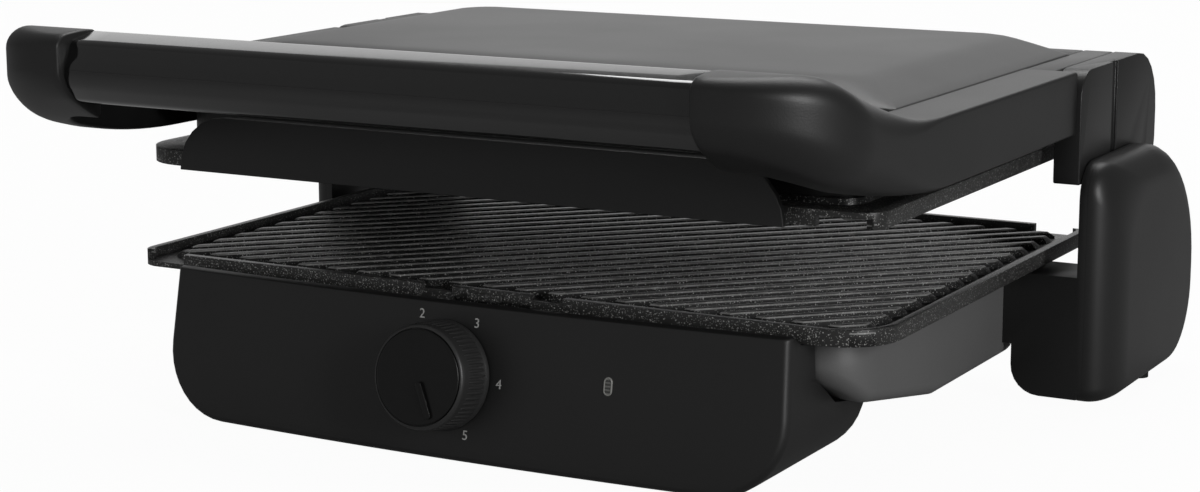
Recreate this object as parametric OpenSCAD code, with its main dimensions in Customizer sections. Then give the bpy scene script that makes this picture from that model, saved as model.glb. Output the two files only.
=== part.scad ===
// Electric contact grill with a floating, hinged lid.
// Two ribbed cast plates face each other. The lid carries the upper one on two arms,
// whose pins ride up and down in the towers behind, so that the lid stays level on thick food.
// X runs to the right, Y to the back, Z up. The origin is on the table, under the middle.

/* [Grill plates] */
// Width of each cast plate, left to right
plate_w = 300; // [280:1:315]
// Depth of each cast plate, front to back
plate_d = 213; // [200:1:225]
// Height of the lower plate's rim above the table
plate_top = 58; // [56:0.5:61]
// Height of the rim's outer wall
rim_h = 5.6; // [5:0.1:6.4]
// Thickness of the rim
rim_t = 2.8; // [2:0.1:3.6]
// Corner radius of the plate at its two pouring corners, seen from above
lip_r = 9; // [6:0.5:12]
// Corner radius of the plate at its other two corners
plate_r = 20; // [14:0.5:24]
// Smooth channel between the rim and the ends of the ribs
channel_w = 8.6; // [6:0.2:12]
// Depth of the channel below the rim
channel_deep = 3.6; // [3:0.1:4.4]
// Thickness of the casting under the channel
cast_t = 4.2; // [3.6:0.1:5]
// Distance between ribs, square to them
rib_pitch = 9.4; // [8:0.1:12]
// Width of a rib on top
rib_top_w = 2.6; // [2:0.1:3.4]
// Width of a rib at its foot
rib_foot_w = 5; // [4.2:0.1:6]
// Height of a rib above the channel
rib_h = 2.8; // [2:0.1:2.9]
// Width of the pouring lip in the rim, at one end of the front and the back
spout_w = 19; // [12:1:26]
// Distance of the pouring lip from the side of the plate
spout_edge = 2.8; // [2.8:0.1:6]
// Distance between the two low steps in the middle of the rim
step_apart = 31.5; // [26:0.5:36]
// Width of each low step
step_w = 13; // [9:0.5:16]
// Depth of each low step
step_deep = 2.2; // [1.6:0.1:2.6]
// Shift of the pair of steps to the right of the middle
step_shift = 5.6; // [0:0.2:7]
// Width of the locating tongue that stands out of the rim between the steps
tongue_w = 13; // [10:0.5:18]
// How far the tongue stands out
tongue_out = 1.8; // [1.2:0.1:2.2]
// Distance of the casting's underside from the edge, at the front and back
belly_in_y = 10; // [10:0.5:14]

/* [Base] */
// How far the plate overhangs the tub at each side
tub_in_x = 12; // [10:0.5:16]
// Front wall of the tub, behind the plate's front edge
tub_front = 11; // [10.5:0.5:13]
// Back wall of the tub, in front of the plate's back edge
tub_back_in = 37; // [32:1:42]
// Wall of the moulded tubs
tub_wall = 2.4; // [2:0.1:3]
// Height of the tub's flat bottom above the table
tub_bottom = 17.7; // [16:0.1:20]
// Height at which the tub's front wall ends
tub_prow = 39; // [37:0.1:41]
// Height of the tub's bottom behind its steep prow
tub_keel = 28.2; // [26:0.1:30]
// Where the steep prow of the tub ends
tub_keel_y = 25; // [22:0.5:28]
// Where the flat bottom of the tub begins
tub_flat_y = 85; // [70:1:100]
// Corner radius of both tubs, seen from above
tub_r = 18; // [12:1:22]

/* [Control housing] */
// Half width of the control housing
panel_half = 126; // [122:0.5:128]
// Forward bow of the control panel, over its width
panel_bow = 5; // [3:0.5:7]
// Backward lean of the control panel, in degrees
panel_lean = 9; // [5:0.5:12]
// Reach of the panel's top edge in front of the plate, at the middle
panel_out = 14; // [11:0.5:16]
// How far the panel's top edge stays below the plate's rim
panel_under = 2.2; // [1.5:0.1:3]
// How far the housing reaches back under the tub
panel_deep = 51; // [46:1:56]
// Wall of the housing
panel_wall = 2.5; // [2:0.1:2.7]
// Radius of the housing's lower corners, seen from the front
panel_r = 26; // [18:1:30]
// Height of the housing's lower edge above the table
panel_bottom = 1.6; // [1.2:0.1:3]
// Widening of each side of the housing from its top downwards
panel_flare = 2.4; // [0.5:0.1:3.5]

/* [Thermostat knob] */
// Knob axis, to the left of the middle
knob_left = 3; // [0:0.5:12]
// Knob axis above the table
knob_z = 31; // [28:0.5:33]
// Diameter of the knob at its base
knob_base_d = 38.5; // [36:0.5:42]
// Diameter of the knob's front edge
knob_face_d = 36.6; // [33:0.2:37.4]
// How far the knob stands out of the panel
knob_out = 16; // [13:0.5:18]
// Number of finger flutes round the knob
knob_flutes = 40; // [24:1:48]
// Diameter of the thermostat shaft
shaft_d = 6; // [5:0.5:8]
// Pilot light, to the right of the middle
pilot_right = 61; // [50:0.5:70]
// Pilot light above the table
pilot_z = 33.8; // [28:0.1:37]
// Width of the pilot light
pilot_w = 4; // [3.4:0.1:5]
// Height of the pilot light
pilot_h = 7; // [6:0.1:9]

/* [Towers and hinge] */
// How far the towers' fronts are ahead of the plate's back edge
tower_lap = 63; // [58:0.5:66]
// Depth of the towers, front to back
tower_d = 110.5; // [107:0.5:116]
// Inner face of the towers, outside the plate's edge
tower_in = 16.2; // [15.8:0.1:18]
// Thickness of the upper part of a tower
tower_t = 14.3; // [14:0.1:17]
// Height of a tower above the table
tower_top = 93.2; // [92:0.1:97]
// Height of the towers' underside above the table
tower_bottom = 3.4; // [3:0.1:6]
// Height of the ledge where the arms come to rest
ledge_z = 51; // [49:0.1:51.4]
// Depth of the foot of a tower, front to back
foot_block_d = 26; // [22:0.5:30]
// Wall of the tower mouldings
tower_wall = 2.5; // [2:0.1:3]
// Diameter of the hinge pins
pin_d = 8; // [7:0.5:9]
// Hinge axis behind the plate's back edge
pivot_behind = 9; // [8:0.5:12]
// Height between the two rims with the lid raised as shown
lid_gap = 33.6; // [28:0.1:34]
// Gap that is left between the two rims with the lid closed
closed_gap = 0.3; // [0.2:0.1:0.6]

/* [Lid] */
// Outer face of the lid's rails, outside the plate's edge
rail_out = 14; // [13:0.1:14.2]
// Width of a rail
rail_w = 21; // [18:0.5:22]
// Height of a rail's underside above the lower plate's rim
rail_low = 45.8; // [44:0.1:48]
// Height of a rail
rail_h = 23.3; // [20:0.1:26]
// Wall of the lid mouldings
lid_wall = 2.6; // [2:0.1:3.2]
// Width of the strip of rail that shows beside the dome
rail_strip = 19.2; // [16:0.2:19.6]
// Rise of the dome above its edge
dome_rise = 7.2; // [5:0.1:9]
// Width of the dome's sloping border
dome_slope = 24.5; // [16:0.5:30]
// Front edge of the dome, behind the plate's front edge
dome_front = 25; // [22:0.5:30]
// Back edge of the dome, in front of the plate's back edge
dome_back_in = 11; // [9:0.5:15]
// Thickness of an arm
arm_t = 10; // [9:0.1:10.4]
// Height of the front lug of an arm above the lower plate's rim
lug_low = 27.4; // [27:0.1:30]

/* [Handle] */
// Reach of the handle in front of the plate
handle_reach = 74.5; // [66:0.5:80]
// Top of the handle above the lower plate's rim
handle_top = 90.5; // [88:0.1:94]
// Half the length of the glossy grip bar
grip_half = 118; // [100:1:122]
// Height of the grip bar
grip_h = 24.7; // [22:0.1:26]
// Depth of the grip bar, front to back
grip_d = 19.5; // [17:0.1:21]
// Diameter of the steel rod inside the grip
rod_d = 9; // [8:0.5:10]
// Outer corner radius of the handle, seen from above
handle_r = 38; // [28:1:42]
// Apron below the handle, half its length
apron_half = 121; // [110:1:124]
// Front of the apron, before the plate's front edge
apron_out = 9.3; // [8.8:0.1:11]
// Height of the apron
apron_h = 20.3; // [18:0.1:21]

/* [Heating elements] */
// Diameter of a tubular heating element
heater_d = 6.5; // [6:0.1:8]
// Number of straight runs of an element
heater_runs = 4; // [4:2:6]
// Distance between two runs
heater_step = 42; // [36:1:46]
// Half the length of a straight run
heater_half = 92; // [70:1:100]

/* [Fasteners and feet] */
// Diameter of the rubber feet
foot_d = 14; // [12:0.5:16]
// Diameter of a screw's head
head_d = 6.4; // [5.6:0.1:7.2]
// Diameter of a screw's shank
screw_d = 3.2; // [2.8:0.1:3.6]
// Clearance between pieces that slide on each other
slide_gap = 0.4; // [0.3:0.05:0.5]
// Clearance round a pin that turns in its bore
turn_gap = 0.05; // [0.03:0.01:0.08]

/* [Hidden] */
$fn = 48;

charcoal = "#2b2b2b";
soft_black = "#202020";
gloss_black = "#141414";
lit_grey = "#3c3c3c";
cast_grey = "#34332f";
steel = "#b9bcc0";
heater_grey = "#4a4c46";
ivory = "#e6e0d2";

tower_front = plate_d - tower_lap;
pivot_y = plate_d + pivot_behind;
tower_back = tower_front + tower_d;
mid_y = (tower_back - handle_reach) / 2;

plate_half = plate_w / 2;
plate_deep = channel_deep + cast_t;
upper_rim = plate_top + lid_gap;
lift_travel = lid_gap - closed_gap;

tub_half = plate_half - tub_in_x;
tub_back = plate_d - tub_back_in;
tub_top = plate_top - plate_deep;
upper_tub_low = upper_rim + plate_deep;

lip_z = plate_top - panel_under;
panel_back_y = -slide_gap;
knob_x = -knob_left;

tower_x = plate_half + tower_in;
tower_out = tower_x + tower_t;
pivot_z = plate_top + lid_gap / 2;

rail_x = plate_half + rail_out;
rail_in = rail_x - rail_w;
rail_bottom = plate_top + rail_low;
rail_top = rail_bottom + rail_h;
dome_half = rail_x - rail_strip;
dome_back = plate_d - dome_back_in;
arm_x = tower_x - slide_gap;
arm_in = arm_x - arm_t;
lid_back = pivot_y - 3;
lug_z = plate_top + lug_low;

grip_top = plate_top + handle_top - 0.5;
grip_low = grip_top - grip_h;
grip_back = handle_reach - 2.5 - grip_d;
rod_y = -(grip_back + grip_d * 0.46);
rod_z = grip_low + grip_h * 0.5;
apron_low = upper_rim + 0.5;
apron_top = apron_low + apron_h;

// ---------------------------------------------------------------- shared shapes

// Arc of radius r that rounds the corner q between p and s.
function unit(v) = v / norm(v);
function corner_arc(p, q, s, r, steps) =
    let (
        to_p = unit(p - q),
        to_s = unit(s - q),
        half = acos(to_p * to_s) / 2,
        centre = q + unit(to_p + to_s) * r / sin(half),
        start = q + to_p * r / tan(half) - centre,
        finish = q + to_s * r / tan(half) - centre,
        a0 = atan2(start.y, start.x),
        turn = (atan2(finish.y, finish.x) - a0 + 540) % 360 - 180
    )
    [for (i = [0:steps]) centre + r * [cos(a0 + turn * i / steps), sin(a0 + turn * i / steps)]];

// Outline through corners [u, v, radius]; radius 0 leaves the corner sharp.
function soft_outline(corners, steps = 6) =
    let (n = len(corners))
    [for (i = [0:n - 1])
        let (p = corners[(i + n - 1) % n], q = corners[i], s = corners[(i + 1) % n])
        each (q.z == 0 ? [[q.x, q.y]]
            : corner_arc([p.x, p.y], [q.x, q.y], [s.x, s.y], q.z, steps))];

// Everything is modelled from the plate's front edge, then moved so that the origin is central.
module in_frame() translate([0, -mid_y, 0]) children();

// The right-hand piece as drawn, or its mirror image on the left.
module on_side(side) mirror([side < 0 ? 1 : 0, 0, 0]) children();

// A profile in (y, z), from x0 to x1.
module along_x(x0, x1) translate([x0, 0, 0]) rotate([90, 0, 90]) linear_extrude(x1 - x0) children();

// A profile in (x, z), from y0 to y1.
module along_y(y0, y1) translate([0, y1, 0]) rotate([90, 0, 0]) linear_extrude(y1 - y0) children();

// A plan in (x, y), from z0 to z1.
module along_z(z0, z1) translate([0, 0, z0]) linear_extrude(z1 - z0) children();

// Box from one corner to the other.
module block(low, high) translate(low) cube(high - low);

// Rod along X, Y or Z between two coordinates, through the other two.
module rod_x(x0, x1, y, z, d) translate([x0, y, z]) rotate([0, 90, 0]) cylinder(h = x1 - x0, d = d);
module rod_y(y0, y1, x, z, d) translate([x, y0, z]) rotate([-90, 0, 0]) cylinder(h = y1 - y0, d = d);
module rod_z(z0, z1, x, y, d) translate([x, y, z0]) cylinder(h = z1 - z0, d = d);

// Rectangle with round corners, centred on x.
module soft_rect(half, y0, y1, r) {
    translate([-half + r, y0]) square([2 * (half - r), y1 - y0]);
    translate([-half, y0 + r]) square([2 * half, y1 - y0 - 2 * r]);
    for (x = [-half + r, half - r], y = [y0 + r, y1 - r]) translate([x, y]) circle(r);
}

// ---------------------------------------------------------------- cast grill plates

// One diagonal rib: a tapered bar at 45 degrees, offset from the plate's middle.
module rib(offset, half_x, half_y) {
    shift = offset * sqrt(2);
    from_x = max(-half_x, shift - half_y);
    to_x = min(half_x, shift + half_y);
    if (to_x - from_x > rib_pitch)
        translate([from_x, from_x - shift, 0]) rotate([0, 0, 45]) along_x(0, (to_x - from_x) * sqrt(2))
            polygon([[-rib_foot_w / 2, -0.6], [rib_foot_w / 2, -0.6],
                     [rib_top_w / 2, rib_h], [-rib_top_w / 2, rib_h]]);
}

// The field of ribs, with all their ends sloping down to the channel.
module rib_field() {
    half_x = plate_half - rim_t - channel_w;
    half_y = plate_d / 2 - rim_t - channel_w;
    count = ceil((half_x + half_y) / sqrt(2) / rib_pitch);
    intersection() {
        for (i = [-count:count]) rib(i * rib_pitch, half_x + rib_h, half_y + rib_h);
        along_y(-half_y - rib_h, half_y + rib_h)
            polygon([[-half_x - rib_h, -1], [half_x + rib_h, -1], [half_x, rib_h], [-half_x, rib_h]]);
        along_x(-half_x - rib_h, half_x + rib_h)
            polygon([[-half_y - rib_h, -1], [half_y + rib_h, -1], [half_y, rib_h], [-half_y, rib_h]]);
    }
}

// What the rim gains and loses at its front edge. The back edge is the same, turned round.
module rim_tongue() {
    block([step_shift - 2 - tongue_w / 2, -plate_d / 2 - tongue_out, -rim_h + 2],
          [step_shift - 2 + tongue_w / 2, -plate_d / 2 + 1, -1.2]);
}
module rim_cuts() {
    spout_x = -plate_half + spout_edge;
    block([spout_x, -plate_d / 2 - 1, -channel_deep], [spout_x + spout_w, -plate_d / 2 + rim_t + 1, 1]);
    for (x = [step_shift - step_apart / 2 - step_w, step_shift + step_apart / 2])
        block([x, -plate_d / 2 - 1, -step_deep], [x + step_w, -plate_d / 2 + rim_t + 0.6, 1]);
    block([step_shift - step_apart / 2, -plate_d / 2 - 1, -rim_h - 1],
          [step_shift + step_apart / 2, -plate_d / 2 + rim_t - 0.4, -rim_h + 2]);
}

// Plan of the plate, centred, drawn in by `inset`.
module plate_plan(half_x, half_y, inset) polygon(soft_outline([
    [-half_x + inset, -half_y + inset, lip_r - inset],
    [half_x - inset, -half_y + inset, plate_r - inset],
    [half_x - inset, half_y - inset, lip_r - inset],
    [-half_x + inset, half_y - inset, plate_r - inset]], 8));

// The casting, centred, with its rim's top at z = 0 and its cooking face up.
module plate_casting(turned = 1) {
    difference() {
        union() {
            along_z(-rim_h, 0) plate_plan(plate_half, plate_d / 2, 0);
            along_z(-plate_deep, -rim_h) plate_plan(plate_half - tub_in_x, plate_d / 2 - belly_in_y, 0);
            for (p = posts) rod_z(-plate_deep - slide_gap - heater_d, -plate_deep, p.x, turned * (p.y - plate_d / 2), post_d - 1);
        }
        for (p = posts) rod_z(-plate_deep - slide_gap - heater_d - 1, -plate_deep + 0.8, p.x, turned * (p.y - plate_d / 2), screw_d - 0.2);
        along_z(-channel_deep, 1) plate_plan(plate_half, plate_d / 2, rim_t);
        rim_cuts();
        rotate([0, 0, 180]) rim_cuts();
    }
    translate([0, 0, -channel_deep]) rib_field();
    rim_tongue();
    rotate([0, 0, 180]) rim_tongue();
}

module lower_grill_plate() in_frame() color(cast_grey)
    translate([0, plate_d / 2, plate_top]) plate_casting();

module upper_grill_plate() in_frame() color(cast_grey)
    translate([0, plate_d / 2, upper_rim]) rotate([180, 0, 0]) plate_casting(-1);

// ---------------------------------------------------------------- base

// Tub outline in (y, z), drawn in by `inset`; open at the top when it is raised by `rise`.
module tub_profile(inset, rise) polygon(soft_outline([
    [tub_front + inset, tub_top + rise, 0],
    [tub_front + inset, tub_prow + inset, 3],
    [tub_keel_y, tub_keel + inset * 1.2, 12],
    [tub_flat_y, tub_bottom + inset, 0],
    [tub_back - inset, tub_bottom + inset, 8 - inset],
    [tub_back - inset, tub_top + rise, 0]]));

gland_x = 62;
gland_z = 33;
gland_d = 13;
reflector_t = 0.8;
heater_z = tub_top - slide_gap - heater_d / 2;
reflector_top = heater_z - heater_d / 2;
post_d = 10.5;
head_deep = 5;
heater_mid = plate_d / 2 - 12;
posts = [for (x = [-70, 70], y = [heater_mid - heater_step, heater_mid + heater_step]) [x, y]];

module base_tub() in_frame() color(lit_grey) {
    difference() {
        intersection() {
            along_x(-tub_half, tub_half) tub_profile(0, 0);
            along_z(0, plate_top) soft_rect(tub_half, tub_front, tub_back, tub_r);
        }
        intersection() {
            along_x(-tub_half + tub_wall, tub_half - tub_wall) tub_profile(tub_wall, 2);
            along_z(0, plate_top + 2)
                soft_rect(tub_half - tub_wall, tub_front + tub_wall, tub_back - tub_wall, tub_r - tub_wall);
        }
        rod_y(tub_back - 5, tub_back + 5, gland_x, gland_z, gland_d + 0.2);
        for (p = posts) screw_way(p);
    }
    for (p = posts) difference() {
        rod_z(tub_floor(p.y) + tub_wall / 2, reflector_top - reflector_t, p.x, p.y, post_d);
        screw_way(p);
    }
}

// Height of the tub's underside, which rises towards the front.
function tub_floor(y) = y > tub_flat_y ? tub_bottom
    : tub_bottom + (tub_keel - tub_bottom) * (tub_flat_y - y) / (tub_flat_y - tub_keel_y);

// Deep counterbore and hole for one of the screws that clamp plate, tray and tub together.
module screw_way(p) {
    rod_z(0, tub_floor(p.y) + head_deep, p.x, p.y, head_d + 2 * slide_gap);
    rod_z(0, plate_top - plate_deep - 1, p.x, p.y, screw_d + slide_gap);
}

// Control housing: a bowed front that leans back, crisp front edges and round lower corners.
// It stands in front of the plate and reaches back under the tub.
bow_r = (panel_half * panel_half + panel_bow * panel_bow) / (2 * panel_bow);
module housing_face(inset) polygon(soft_outline([
    [-panel_half + panel_flare + inset, lip_z - inset, 2],
    [-panel_half + inset, panel_bottom + inset, panel_r - inset],
    [panel_half - inset, panel_bottom + inset, panel_r - inset],
    [panel_half - panel_flare - inset, lip_z - inset, 2]], 9));
module housing_plan(inset) intersection() {
    soft_rect(panel_half - inset, inset, 3 * panel_deep, 6 - inset);
    translate([0, inset + bow_r]) circle(bow_r, $fn = 240);
}
// Outline in (y, z): the top steps down under the plate, then follows the tub's underside.
shelf_z = plate_top - rim_h - slide_gap;
shelf_y = min(tub_front, belly_in_y) - slide_gap;
chin_y = -panel_out - (lip_z - panel_bottom) * tan(panel_lean) - 1;
module housing_side(inset) polygon(soft_outline([
    [chin_y, panel_bottom, 14], [chin_y + (plate_top - panel_bottom) * tan(panel_lean), plate_top, 0],
    [panel_back_y - inset, plate_top, 0], [panel_back_y - inset, shelf_z, 0],
    [shelf_y - inset, shelf_z, 0],
    [shelf_y - inset, tub_prow - slide_gap, 0], [tub_keel_y, tub_keel - 2 * slide_gap, 0],
    [panel_deep - inset, tub_floor(panel_deep) - slide_gap, 0], [panel_deep - inset, panel_bottom, 0]]));
module housing_solid(inset) intersection() {
    along_y(-2 * panel_out - 10, panel_deep + 10) housing_face(inset);
    translate([0, -panel_out, lip_z]) rotate([-panel_lean, 0, 0]) along_z(-2 * plate_top, plate_top)
        housing_plan(inset);
}

// Front of the panel at any place, and the frame that lies on it with z pointing outward.
function panel_y(x, z) = -panel_out - (lip_z - z) * tan(panel_lean) + x * x / (2 * bow_r);
module on_panel(x, z) translate([x, panel_y(x, z), z]) rotate([90 - panel_lean, 0, 0]) children();

module control_housing() in_frame() color(charcoal) {
    difference() {
        intersection() {
            housing_solid(0);
            along_x(-panel_half, panel_half) housing_side(0);
        }
        intersection() {
            housing_solid(panel_wall);
            along_x(-panel_half, panel_half) union() {
                polygon(soft_outline([
                    [chin_y + panel_wall + 1, panel_bottom, 12],
                    [chin_y + panel_wall + 1 + (plate_top - panel_bottom) * tan(panel_lean), plate_top, 0],
                    [panel_back_y - panel_wall, plate_top, 0], [panel_back_y - panel_wall, panel_bottom, 0]]));
                translate([-5, 0]) square([panel_deep + 30, tub_prow - panel_wall]);
                translate([-5, 0]) square([shelf_y - panel_wall + 5, shelf_z - panel_wall]);
            }
        }
        on_panel(knob_x, knob_z) rod_z(-10, 10, 0, 0, shaft_d + 3);
        on_panel(pilot_right, pilot_z) pilot_pill(-10, 10, slide_gap / 4);
        for (x = [-foot_x, foot_x]) rod_z(0, foot_h, x, foot_front, foot_d);
        block([step_shift - 2 - tongue_w / 2 - slide_gap, -tongue_out - slide_gap, shelf_z + 1],
              [step_shift - 2 + tongue_w / 2 + slide_gap, 1, plate_top]);
    }
    for (x = [-foot_x, foot_x]) difference() {
        rod_z(panel_bottom + 0.4, foot_h + 2, x, foot_front, foot_d + 4);
        rod_z(0, foot_h, x, foot_front, foot_d);
    }
}

// The long round-ended light window, standing on the panel.
module pilot_pill(z0, z1, grow) {
    for (dy = [-1, 1]) rod_z(z0, z1, 0, dy * (pilot_h - pilot_w) / 2, pilot_w + 2 * grow);
    block([-pilot_w / 2 - grow, -(pilot_h - pilot_w) / 2, z0], [pilot_w / 2 + grow, (pilot_h - pilot_w) / 2, z1]);
}

// Plate that closes the back of the control housing, below the tub.
module housing_back() in_frame() color(charcoal) intersection() {
    along_y(panel_deep - 2 * panel_wall, panel_deep - panel_wall) housing_face(panel_wall + 0.1);
    block([-panel_half, 0, 0], [panel_half, panel_deep, tub_floor(panel_deep) - 2 * slide_gap]);
}

foot_x = 88;
foot_front = 26;
foot_h = tower_bottom + 1.6;
foot_tower_x = tower_x + 4.2;
foot_tower_y = tower_back - 44;
module rubber_feet() in_frame() color(soft_black) {
    for (x = [-foot_x, foot_x]) rod_z(0, foot_h, x, foot_front, foot_d);
    for (x = [-foot_tower_x, foot_tower_x]) rod_z(0, tower_bottom, x, foot_tower_y, foot_d - 6);
}

// ---------------------------------------------------------------- towers and slides

tower_split = tower_x + 3;
module tower_outline(inset) polygon(soft_outline([
    [tower_front + inset, tower_bottom + inset, 6],
    [tower_front + inset, tower_top - inset, 13],
    [tower_back - inset, tower_top - inset, 52 - inset],
    [tower_back - inset, tower_bottom + inset, 36 - inset]]));
module tower_plan(inset) polygon(soft_outline([
    [tower_x - 1, tower_front + inset, 0],
    [tower_out - inset, tower_front + inset, 13 - inset],
    [tower_out - inset, tower_back - inset, 12 - inset],
    [tower_x - 1, tower_back - inset, 0]]));

slide_half_y = 8;
slide_half_z = 9;
guide_t = 2.5;
module tower_front_view(inset) polygon(soft_outline([
    [tower_x - 1, tower_bottom + inset, 0],
    [tower_out - inset, tower_bottom + inset, 6 - inset],
    [tower_out - inset, tower_top - inset, 13 - inset],
    [tower_x - 1, tower_top - inset, 0]]));
slot_half = pin_d / 2 + slide_gap;

// Inner half of a tower: the foot that bolts to the tub, the wall with the pin's slot,
// and the two guides that the slide block runs between.
module tower_frame(side) in_frame() color(charcoal) on_side(side) {
    difference() {
        union() {
            along_x(tower_x, tower_split) tower_outline(0);
            along_y(tower_front, tower_front + foot_block_d) polygon(soft_outline([
                [tub_half + 3.5, tower_bottom + 1.3, 11], [tub_half + 3.5, tub_bottom + 6, 0],
                [tub_half, tub_bottom + 6, 0], [tub_half, ledge_z, 0],
                [tower_x + 1, ledge_z, 0], [tower_x + 1, tower_bottom + 1.3, 0]]));
            for (y = [pivot_y - slide_half_y - slide_gap - guide_t, pivot_y + slide_half_y + slide_gap])
                block([tower_split, y, pivot_z - lift_travel - slide_half_z - 4],
                      [tower_out - tower_wall - slide_gap, y + guide_t, pivot_z + slide_half_z - 2]);
        }
        block([tower_x - 1, pivot_y - slot_half, pivot_z - lift_travel],
              [tower_split + 1, pivot_y + slot_half, pivot_z]);
        for (z = [pivot_z - lift_travel, pivot_z])
            rod_x(tower_x - 1, tower_split + 1, pivot_y, z, 2 * slot_half);
        for (p = tower_screw_places) rod_x(tower_x - 1, tower_split + 1, p.x, p.y, screw_d + 0.4);
    }
}

// Outer shell of a tower, with its rounded vertical edges.
module tower_cover(side) in_frame() color(charcoal) on_side(side) {
    difference() {
        intersection() {
            along_x(tower_split, tower_out) tower_outline(0);
            along_z(0, tower_top + 1) tower_plan(0);
            along_y(tower_front, tower_back) tower_front_view(0);
        }
        intersection() {
            along_x(tower_split - 1, tower_out - tower_wall) tower_outline(tower_wall);
            along_z(0, tower_top + 1) tower_plan(tower_wall);
            along_y(tower_front, tower_back) tower_front_view(tower_wall);
        }
    }
    for (p = tower_screw_places) difference() {
        rod_x(tower_split, tower_out - 1, p.x, p.y, screw_d + 5);
        rod_x(tower_split - 1, tower_out - 4, p.x, p.y, screw_d - 0.4);
    }
}
tower_screw_places = [[tower_front + 16, tower_top - 18], [tower_back - 20, 30], [tower_front + 40, 14]];

module tower_frame_left() tower_frame(-1);
module tower_frame_right() tower_frame(1);
module tower_cover_left() tower_cover(-1);
module tower_cover_right() tower_cover(1);

// Screws that hold each outer shell, driven from the inside.
module tower_screws() in_frame() color(steel)
    for (side = [-1, 1], p = [tower_screw_places[0], tower_screw_places[1]]) on_side(side)
        rod_x(tower_x + 0.2, tower_split + 7, p.x, p.y, screw_d - 0.6);

// Block that carries one hinge pin up and down behind the tower's inner wall.
slide_x0 = tower_split + slide_gap;
slide_x1 = tower_out - tower_wall - slide_gap - 0.6;
module slide_block(side) in_frame() color(ivory) on_side(side) difference() {
    block([slide_x0, pivot_y - slide_half_y, pivot_z - slide_half_z],
          [slide_x1, pivot_y + slide_half_y, pivot_z + slide_half_z]);
    rod_x(slide_x0 - 1, slide_x1 + 1, pivot_y, pivot_z, pin_d);
}
module slide_block_left() slide_block(-1);
module slide_block_right() slide_block(1);

module hinge_pin(side) in_frame() color(steel) on_side(side)
    rod_x(arm_in + 0.6, slide_x1, pivot_y, pivot_z, pin_d);
module hinge_pin_left() hinge_pin(-1);
module hinge_pin_right() hinge_pin(1);

// ---------------------------------------------------------------- thermostat, knob and lamp

knob_gap = 0.6;
stat_w = 28;
stat_h = 24;
stat_d = 17;
stat_front = -panel_wall - 0.1;
flute_lean = -atan((knob_base_d - knob_face_d) / 2 / (knob_out - 2.6));
knob_cap_d = knob_face_d - 5.4;
pointer_at = 156;

// Knob: a slightly tapered body with finger flutes, hollow behind, with a bored hub.
module thermostat_knob() in_frame() color(soft_black)
    on_panel(knob_x, knob_z) translate([0, 0, knob_gap]) difference() {
        rotate_extrude($fn = 72) polygon([
            [shaft_d / 2 + turn_gap, 0], [6, 0], [6, knob_out - 4], [knob_face_d / 2 - 2.6, knob_out - 4],
            [knob_base_d / 2 - 2.4, 0], [knob_base_d / 2, 0], [knob_base_d / 2, 1.6],
            [knob_face_d / 2, knob_out - 1.6], [knob_cap_d / 2 + 0.6, knob_out], [knob_cap_d / 2, knob_out],
            [knob_cap_d / 2, knob_out - 1], [0, knob_out - 1], [0, knob_out - 3],
            [shaft_d / 2 + turn_gap, knob_out - 3]]);
        for (i = [0:knob_flutes - 1]) rotate([0, 0, i * 360 / knob_flutes])
            translate([knob_base_d / 2 + 0.3, 0, 2.4]) rotate([0, flute_lean, 0])
                cylinder(h = knob_out, d = 1.6, $fn = 16);
    }

// Smooth face of the knob with the raised pointer, which stands at the highest setting.
module knob_cap() in_frame() color(gloss_black)
    on_panel(knob_x, knob_z) translate([0, 0, knob_gap]) {
        rod_z(knob_out - 1, knob_out + 0.3, 0, 0, knob_cap_d - 0.2);
        rotate([0, 0, 90 - pointer_at]) block([1.5, -1.1, knob_out], [knob_cap_d / 2 - 0.6, 1.1, knob_out + 1.1]);
    }

module thermostat_shaft() in_frame() color(steel)
    on_panel(knob_x, knob_z) rod_z(stat_front - 5, knob_out + knob_gap - 3.2, 0, 0, shaft_d);

module thermostat() in_frame() color(ivory) on_panel(knob_x, knob_z) difference() {
    union() {
        block([-stat_w / 2, -stat_h / 2, stat_front - stat_d], [stat_w / 2, stat_h / 2, stat_front]);
        rod_z(stat_front - stat_d - 3, stat_front - stat_d, 0, 0, 7);
    }
    rod_z(stat_front - 5.4, stat_front + 1, 0, 0, shaft_d + 2 * turn_gap);
}

module pilot_lens() in_frame() color(ivory) on_panel(pilot_right, pilot_z)
    pilot_pill(-panel_wall - 3, 0.4, 0);
module pilot_lamp() in_frame() color("#d8d2c8") on_panel(pilot_right, pilot_z)
    rod_z(-panel_wall - 15, -panel_wall - 3, 0, 0, 5.6);

// ---------------------------------------------------------------- electrical pieces in the base

terminal_low = panel_bottom + panel_wall;
terminal_pitch = 12;
terminal_x = 38;
terminal_y = panel_deep - 19;
module terminal_block() in_frame() color(ivory) difference() {
    block([terminal_x - 1.5 * terminal_pitch, terminal_y - terminal_pitch / 2, terminal_low],
          [terminal_x + 1.5 * terminal_pitch, terminal_y + terminal_pitch / 2, terminal_low + terminal_pitch]);
    for (i = [-1:1]) rod_z(terminal_low + terminal_pitch / 2, terminal_low + terminal_pitch + 1,
                           terminal_x + i * terminal_pitch, terminal_y, terminal_pitch / 3);
}

fuse_d = 4;
fuse_half = 14;
fuse_lead = 20;
module thermal_fuse() in_frame() color(steel) {
    rod_x(-fuse_half, fuse_half, heater_mid, reflector_top - reflector_t - fuse_d / 2 - 0.1, fuse_d);
    rod_x(-fuse_half - fuse_lead, fuse_half + fuse_lead, heater_mid,
          reflector_top - reflector_t - fuse_d / 2 - 0.1, 0.3 * fuse_d);
}

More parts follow.
